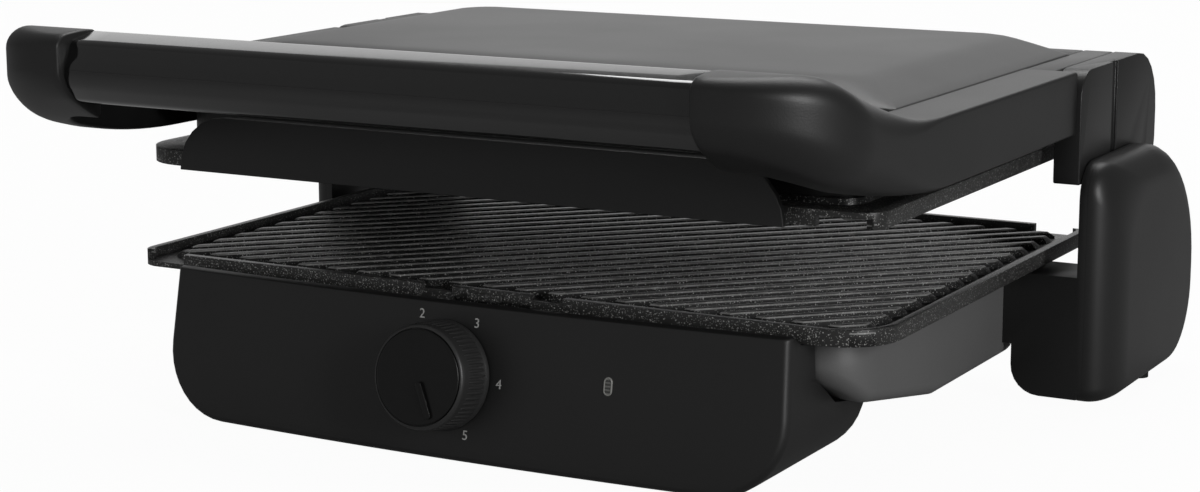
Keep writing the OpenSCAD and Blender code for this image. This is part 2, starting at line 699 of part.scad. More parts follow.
module cord_gland() in_frame() color(soft_black) difference() {
    union() {
        rod_y(tub_back - tub_wall - 2, tub_back, gland_x, gland_z, gland_d);
        rod_y(tub_back, tub_back + 3, gland_x, gland_z, gland_d + 5);
        rod_y(tub_back - tub_wall - 5, tub_back - tub_wall, gland_x, gland_z, gland_d + 3);
    }
    rod_y(tub_back - 3, tub_back + 4, gland_x, gland_z, 7);
}

// Heating tube: straight runs joined by half turns, lying in one plane.
module heater_shape(z) {
    for (i = [0:heater_runs - 1]) {
        y = heater_mid + (i - (heater_runs - 1) / 2) * heater_step;
        rod_x(-heater_half, heater_half, y, z, heater_d);
        if (i < heater_runs - 1)
            translate([(i % 2 == 0 ? 1 : -1) * heater_half, y + heater_step / 2, z])
                rotate([0, 0, i % 2 == 0 ? -90 : 90])
                    rotate_extrude(angle = 180) translate([heater_step / 2, 0]) circle(d = heater_d);
    }
}

// Screws that hold the lower plate, driven from below.
module plate_screws() in_frame() color(steel)
    for (p = posts) {
        rod_z(tub_floor(p.y) + head_deep - 2.4, tub_floor(p.y) + head_deep, p.x, p.y, head_d);
        rod_z(tub_floor(p.y) + head_deep, tub_top + 0.4, p.x, p.y, screw_d - 0.2);
    }

// Pressed tray that holds the element against the plate, with its edges turned up.
tray_half = tub_half - tub_wall - 6;
module reflector_shape(z0, up) {
    y0 = tub_front + tub_wall + 8;
    y1 = tub_back - tub_wall - 6;
    translate([0, 0, z0]) mirror([0, 0, up < 0 ? 1 : 0]) {
        difference() {
            along_z(-reflector_t, 4) soft_rect(tray_half, y0, y1, 10);
            along_z(0, 5) soft_rect(tray_half - reflector_t, y0 + reflector_t, y1 - reflector_t, 10 - reflector_t);
            for (p = posts) rod_z(-2, 1, p.x, p.y, screw_d + slide_gap);
        }
    }
}
module lower_heating_element() in_frame() color(heater_grey) heater_shape(heater_z);
module lower_reflector() in_frame() color(steel) reflector_shape(reflector_top, 1);

upper_heater_z = upper_tub_low + slide_gap + heater_d / 2;
upper_tray_z = upper_heater_z + heater_d / 2;
module upper_heating_element() in_frame() color(heater_grey) heater_shape(upper_heater_z);
module upper_reflector() in_frame() color(steel) reflector_shape(upper_tray_z, -1);

// ---------------------------------------------------------------- lid

upper_tub_top = rail_top - 3.6;
upper_back = dome_back - 2;
module upper_tub() in_frame() color(charcoal) {
    difference() {
        along_z(upper_tub_low, upper_tub_top) soft_rect(tub_half, tub_front, upper_back, tub_r);
        along_z(upper_tub_low - 1, upper_tub_top - tub_wall)
            soft_rect(tub_half - tub_wall, tub_front + tub_wall, upper_back - tub_wall, tub_r - tub_wall);
        for (p = posts) upper_screw_way(p);
    }
    for (p = posts) difference() {
        rod_z(upper_tray_z + reflector_t, upper_tub_top - 1, p.x, p.y, post_d);
        upper_screw_way(p);
    }
}

// Side view of a rail with the handle's arm, which sweeps up to the grip.
module rail_profile() polygon(soft_outline([
    [tower_front, rail_bottom, 0],
    [4, rail_bottom, 90],
    [16.5 - handle_reach, rail_bottom + 12.2, 30],
    [-handle_reach, rail_bottom + 24, 9],
    [-handle_reach, plate_top + handle_top - 2, 9],
    [26 - handle_reach, plate_top + handle_top + 0.3, 16],
    [50 - handle_reach, rail_top + 6.2, 40],
    [8, rail_top, 40],
    [tower_front, rail_top, 0]], 8));

// The handle's hoop seen from above, open at the back.
module hoop_plan() difference() {
    soft_rect(rail_x, -handle_reach, tower_front + handle_r, handle_r);
    soft_rect(rail_in + 2, -grip_back, tower_front + 2 * handle_r, 18);
}

module lid_frame() in_frame() color(charcoal) difference() {
    union() {
        intersection() {
            along_x(-rail_x, rail_x) rail_profile();
            along_z(0, plate_top + handle_top + 5) hoop_plan();
            along_y(-handle_reach, tower_front) polygon(soft_outline([
                [-rail_x, rail_bottom, 0], [-rail_x, plate_top + handle_top, 11],
                [rail_x, plate_top + handle_top, 11], [rail_x, rail_bottom, 0]]));
        }
        for (side = [-1, 1]) on_side(side) block([rail_in, 4, rail_bottom], [rail_in + 3, tower_front, rail_top]);
        for (side = [-1, 1]) on_side(side)
            block([rail_in, tower_front - 0.5, rail_bottom], [arm_in, lid_back, rail_top]);
        block([-rail_in - 1, upper_back + slide_gap, rail_bottom], [rail_in + 1, lid_back, rail_top]);
        block([-rail_in - 1, 2, apron_top], [rail_in + 1, dome_front + 3, rail_top]);
    }
    // seat of the dome, room inside the rails, and the gap that the grip bar fills
    block([-dome_half, dome_front, rail_top - 2.5], [dome_half, dome_back, rail_top + 1]);
    block([-tub_half - slide_gap, tub_front - slide_gap, rail_bottom - 1],
          [tub_half + slide_gap, upper_back + slide_gap, upper_tub_top + slide_gap]);
    block([-dome_half + 4, dome_front + 3, rail_bottom - 1], [dome_half - 4, upper_back - 3, rail_top + 1]);
    for (side = [-1, 1]) on_side(side)
        block([rail_in + lid_wall, 12, rail_bottom - 1], [rail_x - lid_wall, tower_front - 3, rail_top - lid_wall]);
    block([-grip_half, -handle_reach - 1, rail_bottom], [grip_half, 1.5 - grip_back, plate_top + handle_top + 2]);
    for (side = [-1, 1]) on_side(side) {
        rod_x(grip_half - 1, rod_end, rod_y, rod_z, rod_d);
        for (p = arm_pin_places) rod_x(rail_in + 1, arm_in + 1, p.x, p.y, arm_pin_d);
    }
}
rod_end = grip_half + 12;

// Low dome with a sloping border, pressed from sheet.
module dome_shape(shrink) hull() {
    translate([0, 0, rail_top - 2.5 + shrink])
        linear_extrude(1.8) soft_rect(dome_half - 0.3 - shrink, dome_front + 0.3 + shrink, dome_back - 0.3 - shrink, 4, $fn = 24);
    translate([0, 0, rail_top + dome_rise - 1.8 - shrink])
        linear_extrude(1) soft_rect(dome_half - dome_slope - shrink, dome_front + dome_slope + shrink,
            dome_back - 6 - shrink, 10, $fn = 24);
}
module dome_cover() in_frame() color(lit_grey) difference() {
    dome_shape(0);
    translate([0, 0, -1.4]) dome_shape(1.4);
}

// Arms: flat blocks inside the towers, each with a front lug and a boss for the hinge pin.
arm_pin_d = 5;
arm_pin_places = [[tower_front + 9.5, rail_top - 18], [tower_front + 55, rail_top - 10]];
module hinge_arm(side) in_frame() color(charcoal) on_side(side) difference() {
    along_x(arm_in, arm_x) polygon(soft_outline([
        [tower_front, lug_z, 1],
        [tower_front, rail_top, 11],
        [pivot_y + 20, rail_top, 24],
        [pivot_y + 20, pivot_z + 16, 10],
        [pivot_y + 12.5, pivot_z - 12.5, 11],
        [pivot_y - 12.5, pivot_z - 12.5, 11],
        [pivot_y - 22, lug_z, 8]]));
    rod_x(arm_in - 1, arm_x + 1, pivot_y, pivot_z, pin_d + 2 * turn_gap);
    block([arm_x - 1.2, groove_y, lug_z - 1], [arm_x + 1, groove_y + 6, rail_top + 1]);
    for (p = arm_pin_places) rod_x(arm_in - 1, arm_x - 3, p.x, p.y, arm_pin_d);
}
groove_behind = 36;
groove_y = tower_front + groove_behind;
module hinge_arm_left() hinge_arm(-1);
module hinge_arm_right() hinge_arm(1);

module arm_pins() in_frame() color(steel)
    for (side = [-1, 1], p = arm_pin_places) on_side(side)
        rod_x(rail_in + 1, arm_x - 3.2, p.x, p.y, arm_pin_d - 0.1);

// Apron: an upright panel with a shelf on top that hooks over the upper tub's front.
module front_apron() in_frame() color(soft_black) {
    along_y(-apron_out, lid_wall - apron_out) polygon(soft_outline([
        [-apron_half, apron_low, 0], [-apron_half, apron_top, 20],
        [apron_half, apron_top, 20], [apron_half, apron_low, 0]]));
    block([24 - apron_half, lid_wall - apron_out, apron_top - lid_wall], [apron_half - 24, tub_front, apron_top]);
}

// Glossy grip bar with the steel rod through it.
module grip_bar() in_frame() color(gloss_black) difference() {
    along_x(-grip_half + 0.2, grip_half - 0.2) polygon(soft_outline([
        [-grip_back, grip_low, 4], [-grip_back, grip_top, 4],
        [5.5 - grip_back - grip_d, grip_top, 9],
        [-grip_back - grip_d - 1.6, grip_low + grip_h * 0.55, 11],
        [7 - grip_back - grip_d, grip_low, 7]], 8));
    rod_x(-grip_half - 1, grip_half + 1, rod_y, rod_z, rod_d + 0.2);
}
module grip_rod() in_frame() color(steel) rod_x(0.4 - rod_end, rod_end - 0.4, rod_y, rod_z, rod_d - 0.1);

// Deep counterbore and hole of the lid's screws, which go down through the posts.
module upper_screw_way(p) {
    rod_z(upper_tub_top - head_deep, upper_tub_top + 1, p.x, p.y, head_d + 2 * slide_gap);
    rod_z(upper_tub_low, upper_tub_top + 1, p.x, p.y, screw_d + slide_gap);
}
module lid_screws() in_frame() color(steel)
    for (p = posts) {
        rod_z(upper_tub_top - head_deep, upper_tub_top - head_deep + 2.4, p.x, p.y, head_d);
        rod_z(upper_tub_low - 0.4, upper_tub_top - head_deep, p.x, p.y, screw_d - 0.2);
    }

// ---------------------------------------------------------------- pieces, one at a time

base_tub();
control_housing();
housing_back();
tower_frame_left();
tower_frame_right();
tower_cover_left();
tower_cover_right();
rubber_feet();
tower_screws();
lower_heating_element();
lower_reflector();
thermostat();
pilot_lens();
pilot_lamp();
terminal_block();
thermal_fuse();
cord_gland();
lower_grill_plate();
plate_screws();
thermostat_knob();
knob_cap();
thermostat_shaft();
slide_block_left();
slide_block_right();
hinge_pin_left();
hinge_pin_right();
hinge_arm_left();
hinge_arm_right();
arm_pins();
lid_frame();
dome_cover();
upper_tub();
front_apron();
grip_bar();
grip_rod();
upper_heating_element();
upper_reflector();
lid_screws();
upper_grill_plate();
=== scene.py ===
"""Looks of an electric contact grill, built round its packed construction model.

Lengths are written in millimetres, measured from the front edge of the lower plate. Sizes that
a shader or a Geometry Nodes tree reads are in metres, measured from the object's middle.
"""
import math

import bmesh
import bpy
from mathutils import Matrix, Vector


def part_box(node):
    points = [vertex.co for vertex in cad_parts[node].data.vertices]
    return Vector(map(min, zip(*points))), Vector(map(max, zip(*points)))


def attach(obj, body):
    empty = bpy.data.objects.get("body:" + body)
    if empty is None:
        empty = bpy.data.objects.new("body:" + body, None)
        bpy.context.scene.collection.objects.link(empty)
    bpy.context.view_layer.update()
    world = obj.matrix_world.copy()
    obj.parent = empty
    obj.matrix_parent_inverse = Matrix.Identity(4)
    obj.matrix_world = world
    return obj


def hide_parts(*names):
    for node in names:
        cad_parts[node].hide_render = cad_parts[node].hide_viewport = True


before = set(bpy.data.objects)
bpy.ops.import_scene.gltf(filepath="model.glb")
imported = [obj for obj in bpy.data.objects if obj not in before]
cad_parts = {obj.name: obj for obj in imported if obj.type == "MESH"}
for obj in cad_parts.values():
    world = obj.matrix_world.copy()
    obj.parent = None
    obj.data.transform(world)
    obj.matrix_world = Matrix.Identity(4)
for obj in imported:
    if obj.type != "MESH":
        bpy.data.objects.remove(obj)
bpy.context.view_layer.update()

# ---------------------------------------------------------------- the tub of the base
# One deep moulding that hangs under the cast plate and hides the heating element.
# It is satin heat-proof plastic, with a prow in front and softly rounded lower edges.
FRONT_TO_MIDDLE = 93.0


def at(x, y, z):
    """A point in millimetres from the plate's front edge, as metres from the object's middle."""
    return Vector((x, y - FRONT_TO_MIDDLE, z)) / 1000


class Wire:
    """One output of a shader tree. Sums, products and comparisons of wires add Math nodes."""

    def __init__(self, tree, socket):
        self.tree, self.socket = tree, socket

    def node(self, kind, inputs, out=0, **settings):
        made = self.tree.nodes.new(kind if kind.startswith("GeometryNode") else "ShaderNode" + kind)
        for name, value in settings.items():
            setattr(made, name, value)
        for name, value in inputs.items():
            if isinstance(value, (Wire, list)):
                for wire in value if isinstance(value, list) else [value]:
                    self.tree.links.new(wire.socket, made.inputs[name])
            else:
                made.inputs[name].default_value = value
        return Wire(self.tree, made.outputs[out])

    def maths(self, operation, a, b):
        return self.node("Math", {0: a, 1: b}, operation=operation)

    def __add__(self, other):
        return self.maths("ADD", self, other)

    def __mul__(self, other):
        return self.maths("MULTIPLY", self, other)

    def __rmul__(self, other):
        return self.maths("MULTIPLY", other, self)

    def __gt__(self, other):
        return self.maths("GREATER_THAN", self, other)

    def __lt__(self, other):
        return self.maths("LESS_THAN", self, other)

    def along(self, axis):
        """One coordinate of a place: axis 0 for x, 1 for y, 2 for z."""
        return self.node("SeparateXYZ", {"Vector": self}, out=axis)

    def sine(self):
        return self.node("Math", {0: self}, operation="SINE")

    def noise(self, scale, detail=2.0):
        return self.node("TexNoise", {"Vector": self, "Scale": scale, "Detail": detail})

    def cells(self, scale, out=0):
        return self.node("TexVoronoi", {"Vector": self, "Scale": scale}, out=out)

    def between(self, low, high, to_low=0.0, to_high=1.0):
        return self.node("MapRange", {"Value": self, 1: low, 2: high, 3: to_low, 4: to_high})

    def blend(self, low_colour, high_colour):
        """The low colour where this wire is 0 and the high colour where it is 1."""
        return self.node("Mix", {0: self, 6: low_colour, 7: high_colour}, out=2, data_type="RGBA")

    def bump(self, depth, strength=1.0):
        return self.node("Bump", {"Height": self, "Distance": depth, "Strength": strength})


def finish(name, **fixed):
    """A new material, the wire of its object coordinates, and a function that feeds its surface."""
    made = bpy.data.materials.new(name)
    made.use_nodes = True
    surface = made.node_tree.nodes["Principled BSDF"]
    for socket, value in fixed.items():
        surface.inputs[socket.replace("_", " ")].default_value = value
    place = made.node_tree.nodes.new("ShaderNodeTexCoord").outputs["Object"]

    def feed(**wires):
        for socket, wire in wires.items():
            made.node_tree.links.new(wire.socket, surface.inputs[socket.replace("_", " ")])

    return made, Wire(made.node_tree, place), feed


def moulded_plastic(name, colour, roughness, grain=1.0):
    """Spark-eroded satin plastic: a fine grain, and a slow drift of tone and gloss."""
    made, place, feed = finish(name, Specular_IOR_Level=0.5)

    def shade(share):
        return (*[channel * share for channel in colour], 1.0)

    drift = place.noise(9.0, 3.0)
    pits = place.noise(2600.0, 2.0)
    sparks = place.cells(1500.0)
    feed(
        Base_Color=(0.6 * drift + 0.4 * pits).between(0.3, 0.7).blend(shade(0.86), shade(1.14)),
        Roughness=drift.between(0.35, 0.65, roughness - 0.03, roughness + 0.03) + 0.05 * pits,
        Normal=(pits + 0.5 * sparks).bump(0.00004 * grain, 0.5),
    )
    return made


def rounded(corners, steps=8, fill=0):
    """Outline through corners (u, v, radius), with arcs of `steps` and straights cut in `fill`."""
    flat, count = [], len(corners)
    for i, (u, v, r) in enumerate(corners):
        here = Vector((u, v))
        before = (Vector(corners[i - 1][:2]) - here).normalized()
        after = (Vector(corners[(i + 1) % count][:2]) - here).normalized()
        half = before.angle(after) / 2
        centre = here + (before + after).normalized() * r / math.sin(half)
        start = here + before * r / math.tan(half) - centre
        turn = start.angle_signed(here + after * r / math.tan(half) - centre)
        arc = []
        for k in range(steps + 1):
            a = -turn * k / steps
            arc.append(centre + Vector((start.x * math.cos(a) - start.y * math.sin(a),
                                        start.x * math.sin(a) + start.y * math.cos(a))))
        if flat and fill:
            last = flat[-1]
            flat += [last.lerp(arc[0], k / (fill + 1)) for k in range(1, fill + 1)]
        flat += arc
    if fill:
        flat += [flat[-1].lerp(flat[0], k / (fill + 1)) for k in range(1, fill + 1)]
    return flat


def skin(name, rings, material, crease=35.0):
    """Skin over rings of equally many points; each end is closed by one face."""
    mesh = bpy.data.meshes.new(name)
    bm = bmesh.new()
    rows = [[bm.verts.new(p) for p in ring] for ring in rings]
    for low, high in zip(rows, rows[1:]):
        for i in range(len(low)):
            j = (i + 1) % len(low)
            bm.faces.new((low[i], low[j], high[j], high[i]))
    bm.faces.new(rows[0][::-1])
    bm.faces.new(rows[-1])
    bmesh.ops.remove_doubles(bm, verts=bm.verts, dist=1e-6)
    bmesh.ops.recalc_face_normals(bm, faces=bm.faces)
    bm.to_mesh(mesh)
    bm.free()
    return show(name, mesh, material, crease)


def show(name, mesh, material, crease=35.0):
    """Puts a mesh in the scene, shaded smooth except where it turns by more than the crease."""
    piece = bpy.data.objects.new(name, mesh)
    bpy.context.scene.collection.objects.link(piece)
    mesh.materials.clear()
    mesh.materials.append(material)
    mesh.polygons.foreach_set("use_smooth", [True] * len(mesh.polygons))
    mesh.set_sharp_from_angle(angle=math.radians(crease))
    return piece


def soften(node, name, material, edge, steps=2, above=32.0):
    """Copy of a construction node with its edges rounded, as a mould or a die leaves them."""
    mesh = bpy.data.meshes.new(name)
    bm = bmesh.new()
    bm.from_mesh(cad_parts[node].data)
    bmesh.ops.remove_doubles(bm, verts=bm.verts, dist=2e-6)
    bmesh.ops.dissolve_limit(bm, angle_limit=math.radians(0.3), verts=bm.verts,
                             edges=bm.edges, delimit={"NORMAL"})
    bm.to_mesh(mesh)
    bm.free()
    for attribute in ("custom_normal", "sharp_edge", "sharp_face"):
        if attribute in mesh.attributes:
            mesh.attributes.remove(mesh.attributes[attribute])
    piece = show(name, mesh, material, above + 8)
    bevel = piece.modifiers.new("edges", "BEVEL")
    bevel.width = edge / 1000
    bevel.segments = steps
    bevel.limit_method = "ANGLE"
    bevel.angle_limit = math.radians(above)
    flat = bpy.data.meshes.new_from_object(piece.evaluated_get(bpy.context.evaluated_depsgraph_get()))
    piece.modifiers.clear()
    piece.data = flat
    flat.name = name
    flat.polygons.foreach_set("use_smooth", [True] * len(flat.polygons))
    flat.set_sharp_from_angle(angle=math.radians(above + 12))
    return piece


def stand_for(piece, body, slot, *nodes):
    """The piece moves with a body, and is shown in place of these construction nodes."""
    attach(piece, body)
    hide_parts(*nodes)


def dress(material, *nodes):
    """Construction nodes that are shown as they are get their own finish."""
    for node in nodes:
        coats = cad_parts[node].data.materials
        coats.clear()
        coats.append(material)


TUB_SIDE, TUB_FRONT, TUB_BACK, TUB_TOP, TUB_CORNER, TUB_EDGE = 138, 11, 176, 50.2, 18, 4.5
KEEL = [(11, 38.6), (25, 28.2), (85, 17.7), (176, 17.7)]


def under_tub(y):
    """Height of the tub's underside at y: a prow, a slope and a flat."""
    for (y0, z0), (y1, z1) in zip(KEEL, KEEL[1:]):
        if y <= y1:
            return z0 + (z1 - z0) * max(0.0, y - y0) / (y1 - y0)
    return KEEL[-1][1]


def tub_ring(inset, rise, top=None):
    """Outline of the tub drawn in by `inset`, at one height or `rise` above its underside."""
    r = max(TUB_CORNER - inset, 0.5)
    ring = rounded([(-TUB_SIDE + inset, TUB_FRONT + inset, r), (TUB_SIDE - inset, TUB_FRONT + inset, r),
                    (TUB_SIDE - inset, TUB_BACK - inset, r), (-TUB_SIDE + inset, TUB_BACK - inset, r)], 8, 22)
    return [at(p.x, p.y, top if top else under_tub(p.y) + rise) for p in ring]


grey_plastic = moulded_plastic("satin grey moulding", (0.125, 0.125, 0.125), 0.42)
tub_rings = [tub_ring(inset, 0, TUB_TOP - drop) for inset, drop in ((2.4, 0.3), (0.3, 0.05), (0, 0.5))]
for k in range(7):
    a = math.radians(15 * k)
    tub_rings.append(tub_ring(TUB_EDGE * (1 - math.cos(a)), TUB_EDGE * (1 - math.sin(a))))
tub_rings += [tub_ring(inset, 0) for inset in (24, 45, 70, 80)]
tub = skin("tub_moulding", tub_rings, grey_plastic)
stand_for(tub, "base", "tub_plastic", "base_tub")

# ---------------------------------------------------------------- control housing
# A charcoal box hung in front of the tub: a bowed face that leans back, a chin that turns
# under, and soft moulded edges. Its top steps down under the plate, and a plate closes its back.
LEAN, LIP_Z, PANEL_OUT, PANEL_HALF, BOW_RISE = math.radians(9), 55.8, 14.0, 126.4, 5
BOW = (PANEL_HALF ** 2 + BOW_RISE ** 2) / (2 * BOW_RISE)
HOUSING_LOW, HOUSING_FLARE, HOUSING_BACK, CHIN_R, PANEL_MIDDLE = 1.6, 2.4, 51.0, 26, 30
EDGE_WIDE, EDGE_DEEP, LIP_EDGE = 2.6, 3.6, 0.8
SHELF_FRONT, SHELF_BACK, SHELF_Z, TUB_GAP = -0.4, 9.6, 52.0, 0.8


def face_y(x, z):
    """Depth of the bowed and leaning face at this place."""
    return -PANEL_OUT - (LIP_Z - z) * math.tan(LEAN) + x * x / (2 * BOW)


def on_panel(x, z, out=0.0):
    """A point on the control panel, or `out` in front of it."""
    return at(x, face_y(x, z) - out * math.cos(LEAN), z + out * math.sin(LEAN))


def housing_top(y):
    """Height of the housing's top: the panel's lip, a shelf under the plate, and the tub's slope."""
    if y < SHELF_FRONT:
        return LIP_Z
    return SHELF_Z if y < SHELF_BACK else under_tub(max(y, TUB_FRONT)) - TUB_GAP


def housing_ring(inset, y=None, depth=0.0, wall=0.0, share=1.0):
    """Outline of the housing, on its face (depth behind it) or at one y, and a share of its size."""
    top = LIP_Z - inset * LIP_EDGE / EDGE_WIDE - wall
    low, out = HOUSING_LOW + inset + wall, PANEL_HALF - inset - wall
    r = max(CHIN_R - inset - wall, 1.0)
    flat = rounded([(-out, low, r), (out, low, r), (out - HOUSING_FLARE, top, 1.0),
                    (HOUSING_FLARE - out, top, 1.0)], 10, 26)
    ring = []
    for p in flat:
        p = Vector((p.x * share, PANEL_MIDDLE + (p.y - PANEL_MIDDLE) * share))
        here = face_y(p.x, p.y) + depth if y is None else y
        ring.append(at(p.x, here, max(min(p.y, housing_top(here)), HOUSING_LOW)))
    return ring


charcoal = moulded_plastic("satin charcoal moulding", (0.0125, 0.0125, 0.0125), 0.40)
housing_rings = [housing_ring(EDGE_WIDE, share=k / 10) for k in (0.1, 1, 2, 3, 4, 5, 6, 7, 8, 9)]
for k in range(10, -1, -1):
    a = math.radians(9 * k)
    housing_rings.append(housing_ring(EDGE_WIDE * (1 - math.cos(a)), depth=EDGE_DEEP * (1 - math.sin(a))))
HOUSING_STATIONS = (-0.35, 4, 9.55, 9.65, 11, 18, 25, 38, HOUSING_BACK - 0.6)
housing_rings += [housing_ring(0, y) for y in HOUSING_STATIONS]
housing_rings += [housing_ring(0.5, HOUSING_BACK), housing_ring(0, HOUSING_BACK, wall=2.4),
                  housing_ring(0, HOUSING_BACK - 4.5, wall=2.5)]
housing_rings.reverse()
panel = skin("control_panel", housing_rings, charcoal, 38)
stand_for(panel, "base", "housing_plastic", "control_housing")
dress(charcoal, "housing_back")

# ---------------------------------------------------------------- towers behind the plate
# Each is an inner frame with a slot for the hinge pin, and an outer shell screwed to it.
# The shell is a soft form with wide roundings, so it catches one long highlight.
TOWER_OUT, TOWER_SPLIT = 180.5, 169.2
TOWER_FRONT, TOWER_BACK, TOWER_LOW, TOWER_TOP = 150.0, 260.5, 3.4, 93.2
SHELL_EDGE = 11.3


def shell_ring(side, x, inset):
    """Side outline of a tower's shell, drawn in most in front, where the rounding is widest."""
    front, low, top, rear = inset * 1.75, inset * 0.45, inset * 1.2, inset * 1.15
    ring = rounded([(TOWER_FRONT + front, TOWER_LOW + low, max(6 - inset * 0.3, 2.5)),
                    (TOWER_FRONT + front, TOWER_TOP - top, 13 + inset * 1.1),
                    (TOWER_BACK - rear, TOWER_TOP - top, 52 - rear),
                    (TOWER_BACK - rear, TOWER_LOW + low, 36 - rear)], 12)
    return [at(side * x, p.x, p.y) for p in ring]


for side, name in ((-1, "left"), (1, "right")):
    rings = [shell_ring(side, TOWER_SPLIT + out, inset)
             for out, inset in ((0.02, 0.3), (0.02, 0.08), (0.15, 0))]
    for k in range(13):
        a = math.radians(7.5 * k)
        rings.append(shell_ring(side, TOWER_OUT - SHELL_EDGE * (1 - math.sin(a)) - 0.02,
                                SHELL_EDGE * (1 - math.cos(a))))
    shell = skin("tower_shell_" + name, rings, charcoal, 45)
    stand_for(shell, "base", "housing_plastic", "tower_cover_" + name)
    inner = soften("tower_frame_" + name, "tower_inner_" + name, charcoal, 0.3, 2)
    stand_for(inner, "base", "housing_plastic", "tower_frame_" + name)

# ---------------------------------------------------------------- feet and gland
# Four turned rubber pads and the rubber gland in the back of the tub, all dull black.
rubber, place, feed = finish("matt black rubber", Specular_IOR_Level=0.3)
crumb = place.noise(1400.0, 4.0)
feed(Base_Color=crumb.blend((0.010, 0.010, 0.010, 1), (0.022, 0.022, 0.022, 1)),
     Roughness=crumb.between(0.3, 0.7, 0.72, 0.88), Normal=crumb.bump(0.0002, 0.5))
dress(rubber, "rubber_feet", "cord_gland")

# ---------------------------------------------------------------- cast grill plates
# Two aluminium castings with one field of slanting ribs each, a channel round it, a low rim
# with pouring lips, and a speckled non-stick coating, with painted shade in the rib valleys and a
# painted highlight running patchily along the crests of the ribs.
# Heights of the rib valleys, the rises, the edges of the painted crest highlight and the crests.
LOWER_VALLEY, LOWER_RISE, LOWER_HIGHLIGHT_EDGE, LOWER_CREST = 0.0546, 0.0568, 0.05664, 0.05717
UPPER_VALLEY, UPPER_RISE, UPPER_HIGHLIGHT_EDGE, UPPER_CREST = 0.0950, 0.0928, 0.09296, 0.09243
BETWEEN_PLATES, RIM_SIDE, RIM_FRONT, RIM_BACK = 0.075, 0.1462, -0.0905, 0.1165
# The valley tone is painted shade down between the ribs; the crest tone is the coating's own.
VALLEY_SHADE_TONE, CREST_TONE = (0.004, 0.004, 0.004, 1), (0.015, 0.015, 0.0147, 1)
# The light crest tone is a painted highlight; the rim and fleck tones are the coating's own.
RIM_TONE, CREST_HIGHLIGHT_TONE, FLECK_TONE = (0.024, 0.024, 0.0235, 1), (0.27, 0.27, 0.265, 1), (0.42, 0.42, 0.41, 1)
coating, place, feed = finish("speckled non-stick coating", Specular_IOR_Level=0.42)
orange_peel = place.noise(900.0, 3.0)
fleck = (place.cells(950.0) < 0.22) * (place.cells(950.0, 1) > 0.55)
dust = (place.cells(1700.0) < 0.30) * (place.cells(1700.0, 1) > 0.45)
specks = fleck.maths("MAXIMUM", 0.9 * fleck, 0.5 * dust)
across, depth, upright = place.along(0), place.along(1), place.along(2)
crests = (upright > LOWER_HIGHLIGHT_EDGE) * (upright < LOWER_CREST) + (upright > UPPER_CREST) * (upright < UPPER_HIGHLIGHT_EDGE)
# Painted highlight: a light band along the rib crests, patchy along its length.
painted_crest_highlight = crests * place.noise(150.0, 3.0).between(0.3, 0.65, 0.35, 1.0)
# Painted shade: darker down in the rib valleys, lighter up the rises.
valley_shade_ramp = ((upright < BETWEEN_PLATES) * upright.between(LOWER_VALLEY, LOWER_RISE)
          + (upright > BETWEEN_PLATES) * upright.between(UPPER_VALLEY, UPPER_RISE))
rim = (across * across > RIM_SIDE ** 2) + (depth < RIM_FRONT) + (depth > RIM_BACK)
# The coating's colour: its rim tone, the painted crest highlight and the painted valley shade.
film = rim.blend(painted_crest_highlight.blend(valley_shade_ramp.blend(VALLEY_SHADE_TONE, CREST_TONE), CREST_HIGHLIGHT_TONE), RIM_TONE)
feed(Base_Color=specks.blend(film, FLECK_TONE),
     Roughness=orange_peel.between(0.3, 0.7, 0.33, 0.43),
     Normal=(orange_peel + 0.35 * specks).bump(0.00009, 0.45))
lower_plate = soften("lower_grill_plate", "lower_casting", coating, 0.45, 2, 28.0)
stand_for(lower_plate, "base", "coated_casting", "lower_grill_plate")
upper_plate = soften("upper_grill_plate", "upper_casting", coating, 0.45, 2, 28.0)
stand_for(upper_plate, "lid", "coated_casting", "upper_grill_plate")

# ---------------------------------------------------------------- thermostat knob
# A tapered knob with a row of finger ribs round it and a smooth, slightly dished face. A
# short raised pointer on the face shows the setting.
KNOB_X, KNOB_Z, KNOB_GAP = -3.0, 31.0, 0.6
KNOB_PROFILE = [(14, 0), (18.8, 0), (19.2, 0.3), (19.2, 1.5), (18.95, 2.0), (18.75, 2.5), (18.4, 8),
                (18.05, 13.6), (17.95, 14.5), (17.65, 15.1), (17.25, 15.5), (16.95, 15.6), (16.75, 15.45),
                (16.7, 14.8)]
FACE_PROFILE = [(16.5, 14.9), (16.5, 15.6), (16.35, 15.85), (15.9, 15.98), (15, 15.95), (12, 15.75),
                (6, 15.55), (0.6, 15.5)]
knob_origin = on_panel(KNOB_X, KNOB_Z, KNOB_GAP)
KNOB_PLACE = Matrix(((1, 0, 0, knob_origin.x), (0, math.sin(LEAN), -math.cos(LEAN), knob_origin.y),
                     (0, math.cos(LEAN), math.sin(LEAN), knob_origin.z), (0, 0, 0, 1)))


def knob_ring(radius, out, points=96):
    """A ring round the knob's own axis, which is z until the piece is put in its place."""
    turn = 2 * math.pi / points
    return [Vector((radius * math.cos(k * turn), radius * math.sin(k * turn), out)) / 1000
            for k in range(points)]


def repeat_tree(name, sizes):
    """A Geometry Nodes tree with a mesh, some sizes and a finish as its inputs."""
    tree = bpy.data.node_groups.new(name, "GeometryNodeTree")
    tree.interface.new_socket("Mesh", in_out="OUTPUT", socket_type="NodeSocketGeometry")
    tree.interface.new_socket("Mesh", in_out="INPUT", socket_type="NodeSocketGeometry")
    for size in sizes:
        tree.interface.new_socket(size, in_out="INPUT", socket_type="NodeSocketFloat")
    tree.interface.new_socket("Finish", in_out="INPUT", socket_type="NodeSocketMaterial")
    wires = {s.name: Wire(tree, s) for s in tree.nodes.new("NodeGroupInput").outputs if s.name}
    return tree, wires


def end_tree(tree, made, finish_wire):
    """The tree's result is made one real mesh, in one finish."""
    solid = made.node("GeometryNodeRealizeInstances", {"Geometry": made})
    dressed = made.node("GeometryNodeSetMaterial", {"Geometry": solid, "Material": finish_wire})
    tree.links.new(dressed.socket, tree.nodes.new("NodeGroupOutput").inputs[0])


